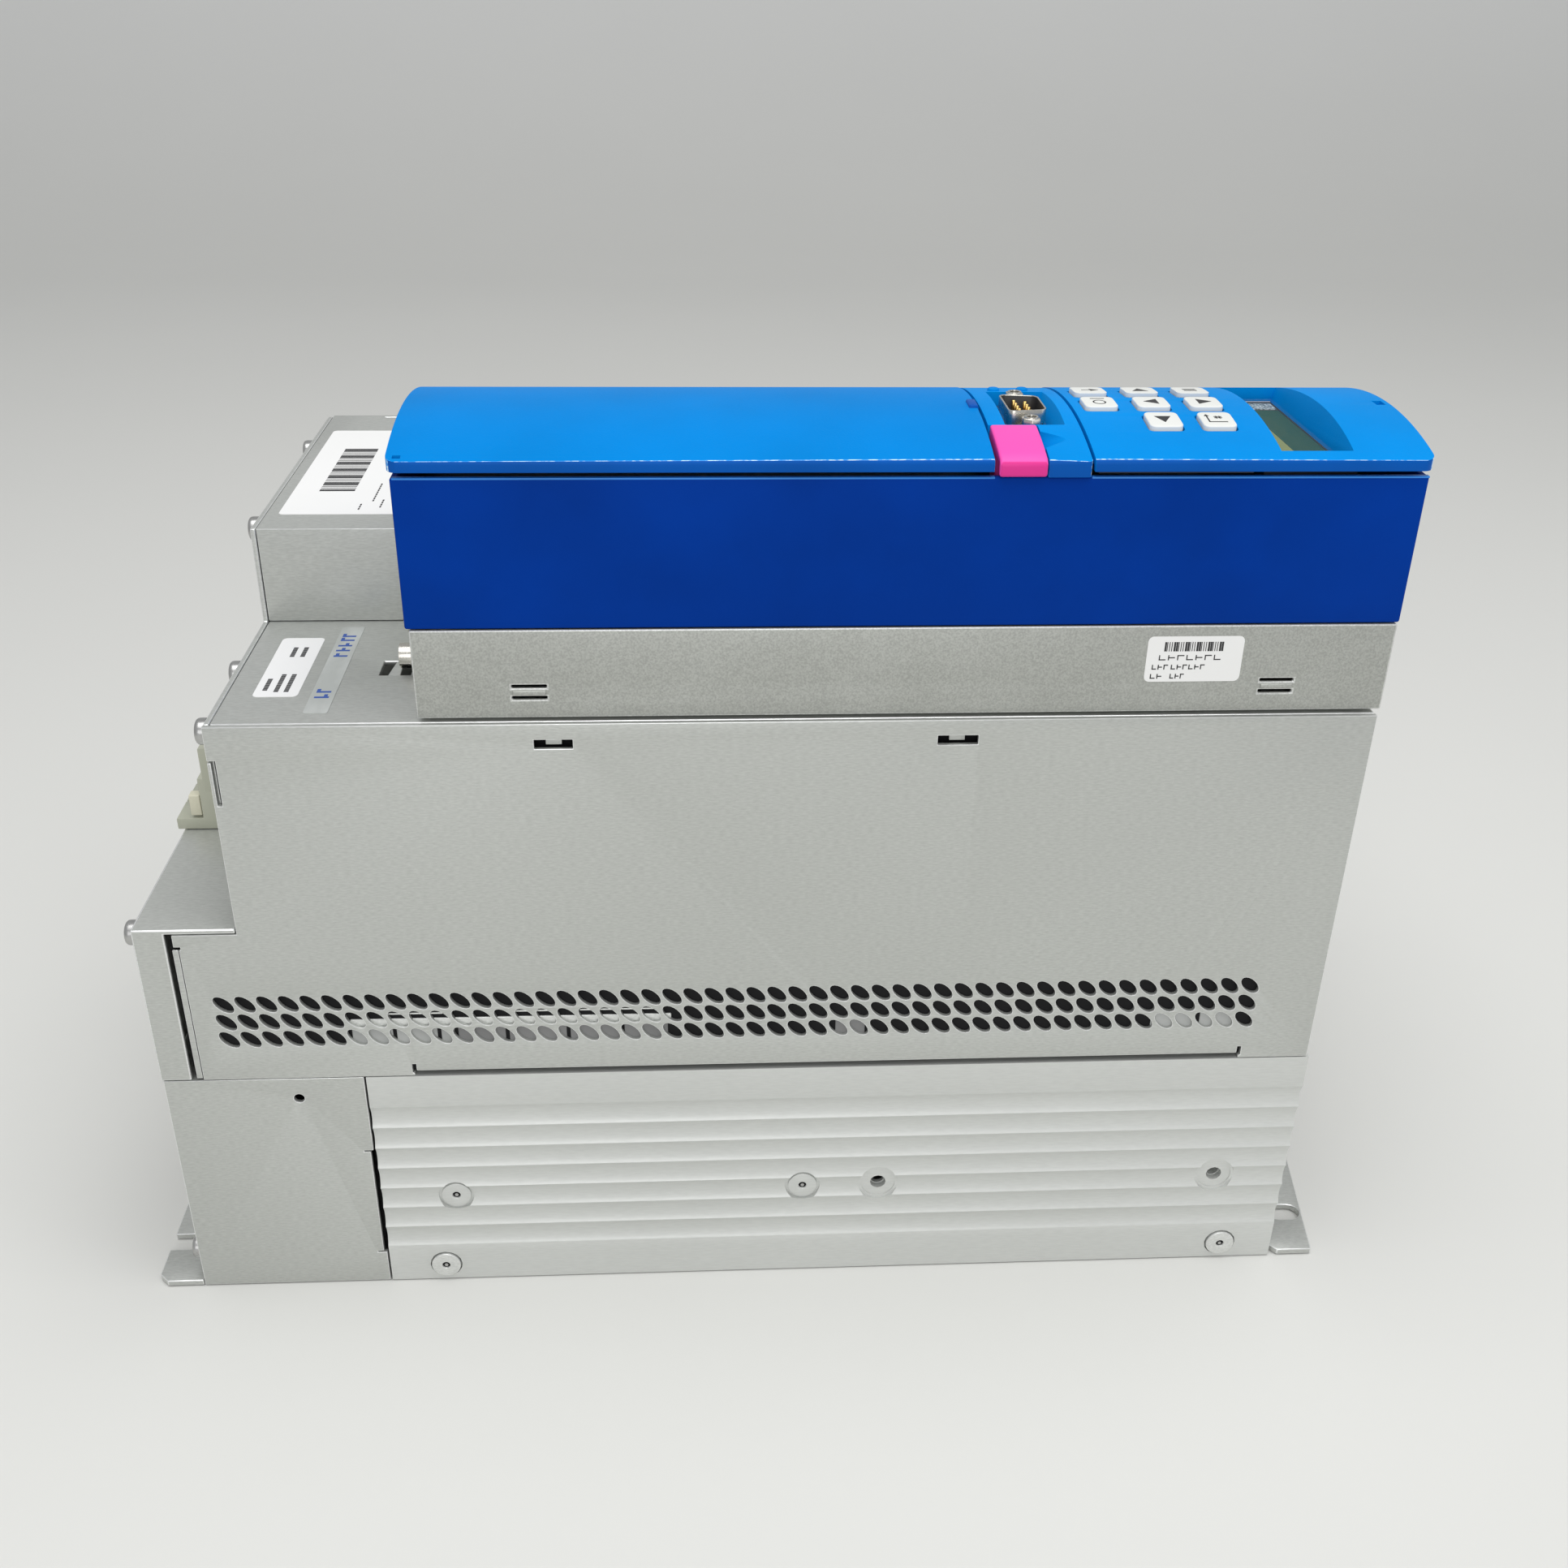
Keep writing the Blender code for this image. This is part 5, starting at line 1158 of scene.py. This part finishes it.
# %% Terminal blocks
def entries(piece, poles, y0, y1, x, z, size):
    """Cuts a row of square wire entries into the face at x."""
    pitch = (y1 - y0) / poles
    for number in range(poles):
        y = y0 + (number + 0.5) * pitch
        notch(piece, (x - MM, y - size / 2, z - size / 2), (x + 5 * MM, y + size / 2, z + size / 2))


def clamp_screws(name, poles, y0, y1, x, z, axis):
    heads = []
    pitch = (y1 - y0) / poles
    for number in range(poles):
        spot = (x, y0 + (number + 0.5) * pitch, z)
        head = bar("head", spot, axis, 0.27 * pitch, 0.8 * MM, 24)
        round_edges(head, 0.15 * MM, 2)
        slot_low = (spot[0] - 0.24 * pitch, spot[1] - 0.2 * MM, spot[2] - 0.2 * MM)
        slot_high = (spot[0] + 0.24 * pitch, spot[1] + 0.2 * MM, spot[2] + MM)
        if axis == "X":
            slot_low = (spot[0] - MM, spot[1] - 0.2 * MM, spot[2] - 0.24 * pitch)
            slot_high = (spot[0], spot[1] + 0.2 * MM, spot[2] + 0.24 * pitch)
        heads.append(notch(head, slot_low, slot_high))
    return place(gather(name, heads), STEEL)


power_low, power_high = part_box("power_terminal_block")
power = softened("power_terminal_block", 0)
entries(power, 9, power_low.y, power_high.y, X_START + 5.9 * MM, power_low.z + 10.5 * MM, 6 * MM)
for number in range(1, 9):
    y = power_low.y + number * (power_high.y - power_low.y) / 9
    notch(power, (power_low.x - MM, y - 0.3 * MM, power_low.z + 1.5 * MM),
          (X_START + 9 * MM, y + 0.3 * MM, power_high.z + MM))
round_edges(power, 0.35 * MM, 2)
place(power, BEIGE, node="power_terminal_block")
clamp_screws("power_clamp_screws", 9, power_low.y, power_high.y, X_START + 14 * MM,
             power_high.z + 0.2 * MM, "Z")
lever = block("release_lever", (X_START + 2.2 * MM, power_low.y + 0.4 * MM,
                                power_low.z + 4.6 * MM),
              (X_START + 5.6 * MM, power_low.y + 4.0 * MM, power_low.z + 11.6 * MM))
select_faces(lever, lambda centre, normal: normal.x < -0.9)
bpy.ops.mesh.inset(thickness=0.8 * MM, depth=-0.6 * MM)
done()
round_edges(lever, 0.3 * MM)
place(lever, CREAM)
for name, poles, size in (("encoder_terminal_block", 5, 3.2), ("option_terminal_block", 12, 3.2)):
    low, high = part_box(name)
    body = softened(name, 0)
    entries(body, poles, low.y, high.y, low.x, low.z + 4.2 * MM, size * MM)
    round_edges(body, 0.25 * MM, 2)
    place(body, BEIGE, node=name)
    clamp_screws(name + "_screws", poles, low.y, high.y, low.x + 0.1 * MM,
                 high.z - 2.2 * MM, "X")

# %% [markdown]
# At the lower end of the control unit a signal terminal block and the nut of a round socket
# stick out over the deck, with a spring clip beside them.

# %% Signal block, socket nut and clip
signal_low, signal_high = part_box("signal_terminal_block")
signal = softened("signal_terminal_block", 0)
entries(signal, 4, signal_low.y, signal_high.y, signal_low.x, signal_low.z + 4.5 * MM, 3 * MM)
round_edges(signal, 0.5 * MM, 3)
place(signal, BEIGE, node="signal_terminal_block")
clamp_screws("signal_clamp_screws", 4, signal_low.y, signal_high.y, signal_low.x + 3 * MM,
             signal_high.z + 0.2 * MM, "Z")
socket_low, socket_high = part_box("socket_screw")
middle = (socket_low + socket_high) / 2
socket = bar("socket_nut", middle, "X", 3.6 * MM, socket_high.x - socket_low.x, 40)
select_faces(socket, lambda centre, normal: normal.x < -0.9)
bpy.ops.mesh.inset(thickness=0.9 * MM, depth=0.0)
bpy.ops.transform.translate(value=(1.6 * MM, 0, 0))
bpy.ops.mesh.inset(thickness=1.0 * MM, depth=0.0)
bpy.ops.transform.translate(value=(-1.2 * MM, 0, 0))
done()
round_edges(socket, 0.3 * MM, 3)
place(socket, NICKEL, node="socket_screw")
clip = block("spring_clip", (X_START + 71.0 * MM, Y_NEAR + 33.4 * MM, Z_DECK - 3.0 * MM),
             (X_START + 75.2 * MM, Y_NEAR + 42.0 * MM, Z_DECK - 2.2 * MM))
select_faces(clip, lambda centre, normal: normal.y > 0.9)
bpy.ops.transform.translate(value=(1.6 * MM, 0, 2.2 * MM))
bpy.ops.transform.resize(value=(0.5, 1, 1))
done()
round_edges(clip, 0.2 * MM)
place(clip, ZINC)

# %% [markdown]
# ## Labels
# Labels are thin paper plates with rounded corners. Their print is a row of bars for the code
# and short strokes where lines of words would be, so nothing on them can be read.

# %% Print labels
def printed(name, low, high, top, bars, lines, ink=None, corner=1.5 * MM, film=None):
    """A label that lies flat at height top; bars and lines are printed boxes in the plane."""
    ink = ink or INK
    paper = rounded_plate(name, (low[0], low[1], top), (high[0], high[1], top + 0.12 * MM),
                          corner, 4)
    marks = [patch("mark", (x0, y0), (x1, y1), top + 0.11 * MM)
             for x0, y0, x1, y1 in bars + lines]
    paper.data.materials.append(film or PAPER)
    for mark in marks:
        mark.data.materials.append(ink)
    gather(name, [paper] + marks)
    return paper


def code_bars(start, step, count, y0, y1, along="x"):
    """Bars of uneven width, spread by a simple rule."""
    bars, at = [], start
    for number in range(count):
        wide = step * (0.35 + 0.5 * ((number * 7) % 5 in (0, 3)))
        box = (at, y0, at + wide, y1) if along == "x" else (y0, at, y1, at + wide)
        bars.append(box)
        at += step
    return bars


option_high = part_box("option_cover")[1]
label_low = (X_START + 34.2 * MM, Y_NEAR + 85.6 * MM)
label_high = (X_START + 80.0 * MM, Y_NEAR + 175.0 * MM)
code = code_bars(label_low[1] + 22 * MM, 1.45 * MM, 32, label_low[0] + 8 * MM,
                 label_low[0] + 19 * MM, "y")
words = []
for row, (start, end, thick) in enumerate(((4, 9, 0.5), (12, 30, 0.5), (6, 14, 0.5),
                                           (14, 34, 1.6), (40, 58, 0.5), (16, 30, 0.5))):
    x = label_low[0] + (23 + 3.1 * row) * MM
    words += [(x, label_low[1] + at * MM, x + thick * MM, label_low[1] + (at + 1.5) * MM)
              for at in range(start, end, 2)]
option_label = printed("option_label", label_low, label_high, option_high.z, code, words)
place(option_label, None)

label_low = (X_START + 37.7 * MM, Y_NEAR + 18.7 * MM)
label_high = (X_START + 50.0 * MM, Y_NEAR + 59.5 * MM)
words = []
for x, start, end in ((2.0, 4, 12), (4.6, 27, 34), (5.2, 3, 15), (8.0, 3, 15), (7.6, 27, 34)):
    words += [(label_low[0] + x * MM, label_low[1] + at * MM,
               label_low[0] + (x + 1.3) * MM, label_low[1] + (at + 0.8) * MM)
              for at in range(start, end)]
deck_label = printed("deck_label", label_low, label_high, Z_DECK, [], words)
place(deck_label, None)

tape_low = (X_START + 53.6 * MM, Y_NEAR + 8.0 * MM)
tape_high = (X_START + 60.2 * MM, Y_NEAR + 67.8 * MM)
marks = []
for start in (17.5, 21.0, 45.5, 49.5, 53.0, 57.0, 60.0):
    marks.append((tape_low[0] + 1.2 * MM, Y_NEAR + start * MM,
                  tape_high[0] - 1.4 * MM, Y_NEAR + (start + 1.0) * MM))
    marks.append((tape_low[0] + (1.2 + start % 3) * MM, Y_NEAR + (start + 1.0) * MM,
                  tape_low[0] + (2.2 + start % 3) * MM, Y_NEAR + (start + 2.4) * MM))
tape = printed("deck_tape", tape_low, tape_high, Z_DECK, [], marks, BLUE_INK, 0.8 * MM, TAPE)
place(tape, None)

# %% The label on the tray's side
def upright(piece, y):
    """Stands a flat label up against the near side at y, its X and print kept."""
    pick(piece)
    piece.rotation_euler = (pi / 2, 0, 0)
    piece.location = (0, y, 0)
    return settle(piece)


low = (X_START + 280.3 * MM, 209.0 * MM)
high = (X_START + 306.5 * MM, 222.2 * MM)
code = code_bars(low[0] + 4.6 * MM, 0.62 * MM, 26, low[1] + 8.9 * MM, low[1] + 11.6 * MM)
words = []
for first, count, pitch, z, tall in ((3.4, 7, 2.5, 6.3, 1.5), (1.8, 3, 1.6, 3.6, 1.4),
                                     (7.0, 6, 1.6, 3.6, 1.4), (1.6, 2, 1.8, 0.9, 1.4),
                                     (7.0, 3, 1.4, 0.9, 1.4)):
    for number in range(count):
        x, base = low[0] + (first + number * pitch) * MM, low[1] + z * MM
        wide = 0.75 * pitch * MM
        words.append((x, base, x + 0.3 * MM, base + tall * MM))
        words.append((x, base + (number % 3) * tall * 0.4 * MM, x + wide,
                      base + ((number % 3) * tall * 0.4 + 0.3) * MM))
side_label = printed("tray_label", low, high, 0.0, code, words)
upright(side_label, base_low.y + 0.02 * MM)
place(side_label, None)

# %% [markdown]
# ## Fans
# Each fan has seven swept blades on a hub. A blade is a thin block cut into slices; each slice
# is turned a little more than the one before, so the blade twists and sweeps. It is modelled
# once, copied round the hub, and turned about the fan's own axis. The guard is bent from wire:
# rings are tori, and the spokes are thin bars that join them.

# %% Rotor, frame and guard
def blade(name, hub, tip, chord, x_middle):
    """One twisted blade along +Z, its root at the hub."""
    low = (x_middle - 0.7 * MM, -chord / 2, hub)
    high = (x_middle + 0.7 * MM, chord / 2, tip)
    piece = block(name, low, high)
    select_whole(piece)
    bpy.ops.mesh.subdivide(number_cuts=7)
    done()
    for vertex in piece.data.vertices:
        share = (vertex.co.z - hub) / (tip - hub)
        sweep = 7.0 * MM * share * share
        camber = 2.2 * MM * (1 - (2 * vertex.co.y / chord) ** 2)
        angle = radians(50 - 22 * share)
        across = vertex.co.y
        depth = vertex.co.x - x_middle + camber
        vertex.co.x = x_middle + depth * cos(angle) + across * sin(angle)
        vertex.co.y = -depth * sin(angle) + across * cos(angle) + sweep
    return smooth(piece, 50)


def rotor(side):
    low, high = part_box(f"fan_rotor_{side}")
    frame_low, frame_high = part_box(f"fan_frame_{side}")
    y, z = (frame_low.y + frame_high.y) / 2, (frame_low.z + frame_high.z) / 2
    middle = (low.x + high.x) / 2
    hub = bar(f"fan_rotor_{side}_shape", (middle, 0, 0), "X", 14 * MM, high.x - low.x, 48)
    round_edges(hub, 1.6 * MM, 4)
    pieces = [hub]
    first = blade("blade", 13 * MM, 29.6 * MM, 15 * MM, middle)
    for number in range(7):
        copy = duplicate(first, "blade")
        copy.rotation_euler = (number * 2 * pi / 7, 0, 0)
        pieces.append(settle(copy))
    bpy.data.objects.remove(first, do_unlink=True)
    whole = gather(f"fan_rotor_{side}_shape", pieces)
    whole.location = (0, y, z)
    settle(whole)
    place(whole, BLACK, f"fan_rotor_{side}", f"fan_rotor_{side}")
    shell = softened(f"fan_frame_{side}", 0.5 * MM)
    place(shell, BLACK, node=f"fan_frame_{side}")
    sticker = bar(f"hub_sticker_{side}", (low.x - 0.05 * MM, y, z), "X", 10 * MM, 0.1 * MM, 40)
    select_faces(sticker, lambda centre, normal: normal.x < -0.9)
    bpy.ops.mesh.inset(thickness=1.2 * MM, depth=0.0)
    done()
    place(sticker, PAPER, f"fan_rotor_{side}")


def guard(side):
    low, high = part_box(f"fan_guard_{side}")
    x, y, z = ((low + high) / 2)
    reach = (high.y - low.y) / 2
    wires = []
    for radius in (9.0 * MM, 17.0 * MM, 25.0 * MM, reach - 0.6 * MM):
        bpy.ops.mesh.primitive_torus_add(
            location=(x + 0.1 * MM, y, z), rotation=(0, pi / 2, 0), major_radius=radius,
            minor_radius=0.5 * MM, major_segments=72, minor_segments=8,
        )
        wires.append(settle(bpy.context.object))
    for number in range(4):
        angle = pi / 4 + number * pi / 2
        middle = (9 * MM + reach) / 2
        spoke = bar("spoke", (0, 0, 0), "Z", 0.7 * MM, reach - 8 * MM, 10)
        round_edges(spoke, 0.3 * MM, 2)
        spoke.location = (0, 0, middle)
        settle(spoke)
        spoke.rotation_euler = (angle, 0, 0)
        spoke.location = (x - 0.4 * MM, y, z)
        wires.append(settle(spoke))
    whole = gather(f"wire_guard_{side}", wires)
    smooth(whole, 60)
    place(whole, STEEL, node=f"fan_guard_{side}")


for side in ("near", "far"):
    rotor(side)
    guard(side)

# %% [markdown]
# ## Inside the power housing
# Little of the inside shows through the vents and openings, but what does must be right: the
# board, capacitors in dark sleeves with bare aluminium tops scored with a vent cross, and, in
# front of a black film that is painted shade keeping the inside dark, relays and a bright bus
# bar behind the middle row of vents.

# %% Capacitors
for number in range(1, 5):
    low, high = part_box(f"bus_capacitor_{number}")
    middle = (low + high) / 2
    can = bar(f"capacitor_can_{number}", middle, "Z", (high.x - low.x) / 2, high.z - low.z, 48)
    select_edges(can, lambda a, b: min(a.z, b.z) > high.z - 0.1 * MM)
    bpy.ops.mesh.bevel(offset=1.6 * MM, segments=4, affect="EDGES")
    done()
    select_faces(can, lambda centre, normal: normal.z > 0.9)
    bpy.ops.mesh.inset(thickness=1.2 * MM, depth=0.0)
    bpy.ops.transform.translate(value=(0, 0, -0.7 * MM))
    done()
    for size in ((0.4, 9), (9, 0.4)):
        notch(can, (middle.x - size[0] * MM, middle.y - size[1] * MM, high.z - 1.1 * MM),
              (middle.x + size[0] * MM, middle.y + size[1] * MM, high.z + MM))
    smooth(can)
    can.data.materials.append(SLEEVE)
    can.data.materials.append(EXTRUSION)
    for face in can.data.polygons:
        face.material_index = int(face.center.z > high.z - 0.75 * MM and face.normal.z > 0.5)
    place(can, None, node=f"bus_capacitor_{number}")

# %% Boards, relays and bus bar
for node in ("power_board", "control_board", "option_board"):
    low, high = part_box(node)
    sheet = softened(node, 0)
    for x in (low.x + 5 * MM, high.x - 5 * MM):
        for y in (low.y + 5 * MM, high.y - 5 * MM):
            carve(sheet, bar("c", (x, y, low.z), "Z", 1.7 * MM, 8 * MM, 20))
    round_edges(sheet, 0.15 * MM, 1)
    place(sheet, BOARD, node=node)
board_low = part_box("power_board")[0]
# The black film behind the relays is painted shade: it keeps the inside behind the vents dark.
film_y = min(board_low.y - 0.5 * MM, Y_NEAR + 5.0 * MM)
film = block("black_film_painted_shade", (X_START + 18 * MM, film_y, Z_SINK + 2 * MM),
             (X_START + 336 * MM, film_y + 0.3 * MM, Z_SINK + 44 * MM))
select_faces(film, lambda centre, normal: normal.z > 0.9)
bpy.ops.mesh.extrude_region_move(TRANSFORM_OT_translate={"value": (0, 3 * MM, 2 * MM)})
done()
round_edges(film, 0.08 * MM, 1)
place(film, SHADE_FILM)
cases = {True: [], False: []}
for start, end, bright in ((57, 69, True), (70, 82, True), (83, 87, True), (88, 102, False),
                           (103, 120, False), (121, 136, False), (137, 150, False),
                           (200, 209, False), (296, 309, True), (311, 322, True)):
    case = block("case", (X_START + start * MM, Y_NEAR + 2.2 * MM, Z_SINK + 6 * MM),
                 (X_START + end * MM, film_y - 0.3 * MM, Z_SINK + 17.2 * MM))
    cases[bright].append(round_edges(case, 0.4 * MM, 2))
place(gather("relay_cases", cases[True]), RELAY)
place(gather("coil_cases", cases[False]), GREY_BODY)
rails = []
for start, end, z, tall in ((57, 151, 18.2, 2.4), (66, 84, 22.0, 0.6), (104, 116, 22.2, 0.6),
                            (124, 146, 22.2, 0.6)):
    rail = block("rail", (X_START + start * MM, Y_NEAR + 2.2 * MM, Z_SINK + z * MM),
                 (X_START + end * MM, film_y - 0.4 * MM, Z_SINK + (z + tall) * MM))
    rails.append(round_edges(rail, 0.25 * MM))
place(gather("bus_bars", rails), RIVET)
module = softened("power_module", 0.6 * MM)
place(module, BLACK, node="power_module")

# %% [markdown]
# ## Floor and light
# A pale sweep of paper runs under the drive and up behind it, so there is no horizon. One very
# large soft light hangs overhead, as a window or a light tent would, with weaker ones in front
# and at one side. The paper is paler higher up, where less light reaches it. A pale world
# fills the reflections of the metal.

# %% Sweep and lights
bpy.ops.mesh.primitive_plane_add(size=1, location=(0, 0.2, -0.0005))
sweep = bpy.context.object
sweep.name = "paper_sweep"
sweep.scale = (9.0, 5.0, 1.0)
settle(sweep)
select_edges(sweep, lambda a, b: min(a.y, b.y) > 2.5)
bpy.ops.mesh.extrude_edges_move(TRANSFORM_OT_translate={"value": (0, 1.0, 3.5)})
done()
modify(sweep, "BEVEL", width=1.2, segments=12, limit_method="ANGLE", angle_limit=radians(20))
smooth(sweep, 60)
PAPER_FLOOR = finish("sweep_paper", (0.72, 0.72, 0.70), 0.75, 0.0, 0.2)
spot = PAPER_FLOOR.node_tree.nodes.new("ShaderNodeTexCoord")
axes = PAPER_FLOOR.node_tree.nodes.new("ShaderNodeSeparateXYZ")
PAPER_FLOOR.node_tree.links.new(spot.outputs["Object"], axes.inputs["Vector"])
fibres = noise(PAPER_FLOOR, 3.0, (1, 1, 1), 4.0)
paper_fibres = ramp(PAPER_FLOOR, fibres, 0.3, 0.7, (0.985, 0.985, 0.985), (1.0, 1.0, 1.0))
paper_height = ramp(PAPER_FLOOR, axes.outputs["Z"], 0.0, 0.6, (0.70, 0.70, 0.675),
                    (0.93, 0.935, 0.93))
paint(PAPER_FLOOR, multiply(PAPER_FLOOR, paper_height, paper_fibres, 1.0))
sweep.data.materials.append(PAPER_FLOOR)


def lamp(name, spot, target, size, power):
    """A rectangular soft light that looks at its target."""
    data = bpy.data.lights.new(name, "AREA")
    data.shape = "RECTANGLE"
    data.size, data.size_y = size
    data.energy = power
    light = bpy.data.objects.new(name, data)
    bpy.context.scene.collection.objects.link(light)
    light.location = spot
    way = Vector(target) - Vector(spot)
    light.rotation_euler = way.to_track_quat("-Z", "Y").to_euler()


lamp("overhead_light", (0.05, -0.25, 1.5), (0, 0, 0.1), (1.5, 1.1), 15)
lamp("front_light", (-0.2, -1.8, 0.8), (0, 0, 0.12), (1.2, 0.9), 8)
lamp("side_light", (1.6, -0.6, 0.9), (0, 0, 0.15), (1.0, 1.2), 3)
world = bpy.data.worlds.new("pale_room")
bpy.context.scene.world = world
world.use_nodes = True
world.node_tree.nodes["Background"].inputs["Color"].default_value = (0.93, 0.94, 0.95, 1)
world.node_tree.nodes["Background"].inputs["Strength"].default_value = 0.54
bpy.context.scene.view_settings.view_transform = "Standard"
print("lights set")
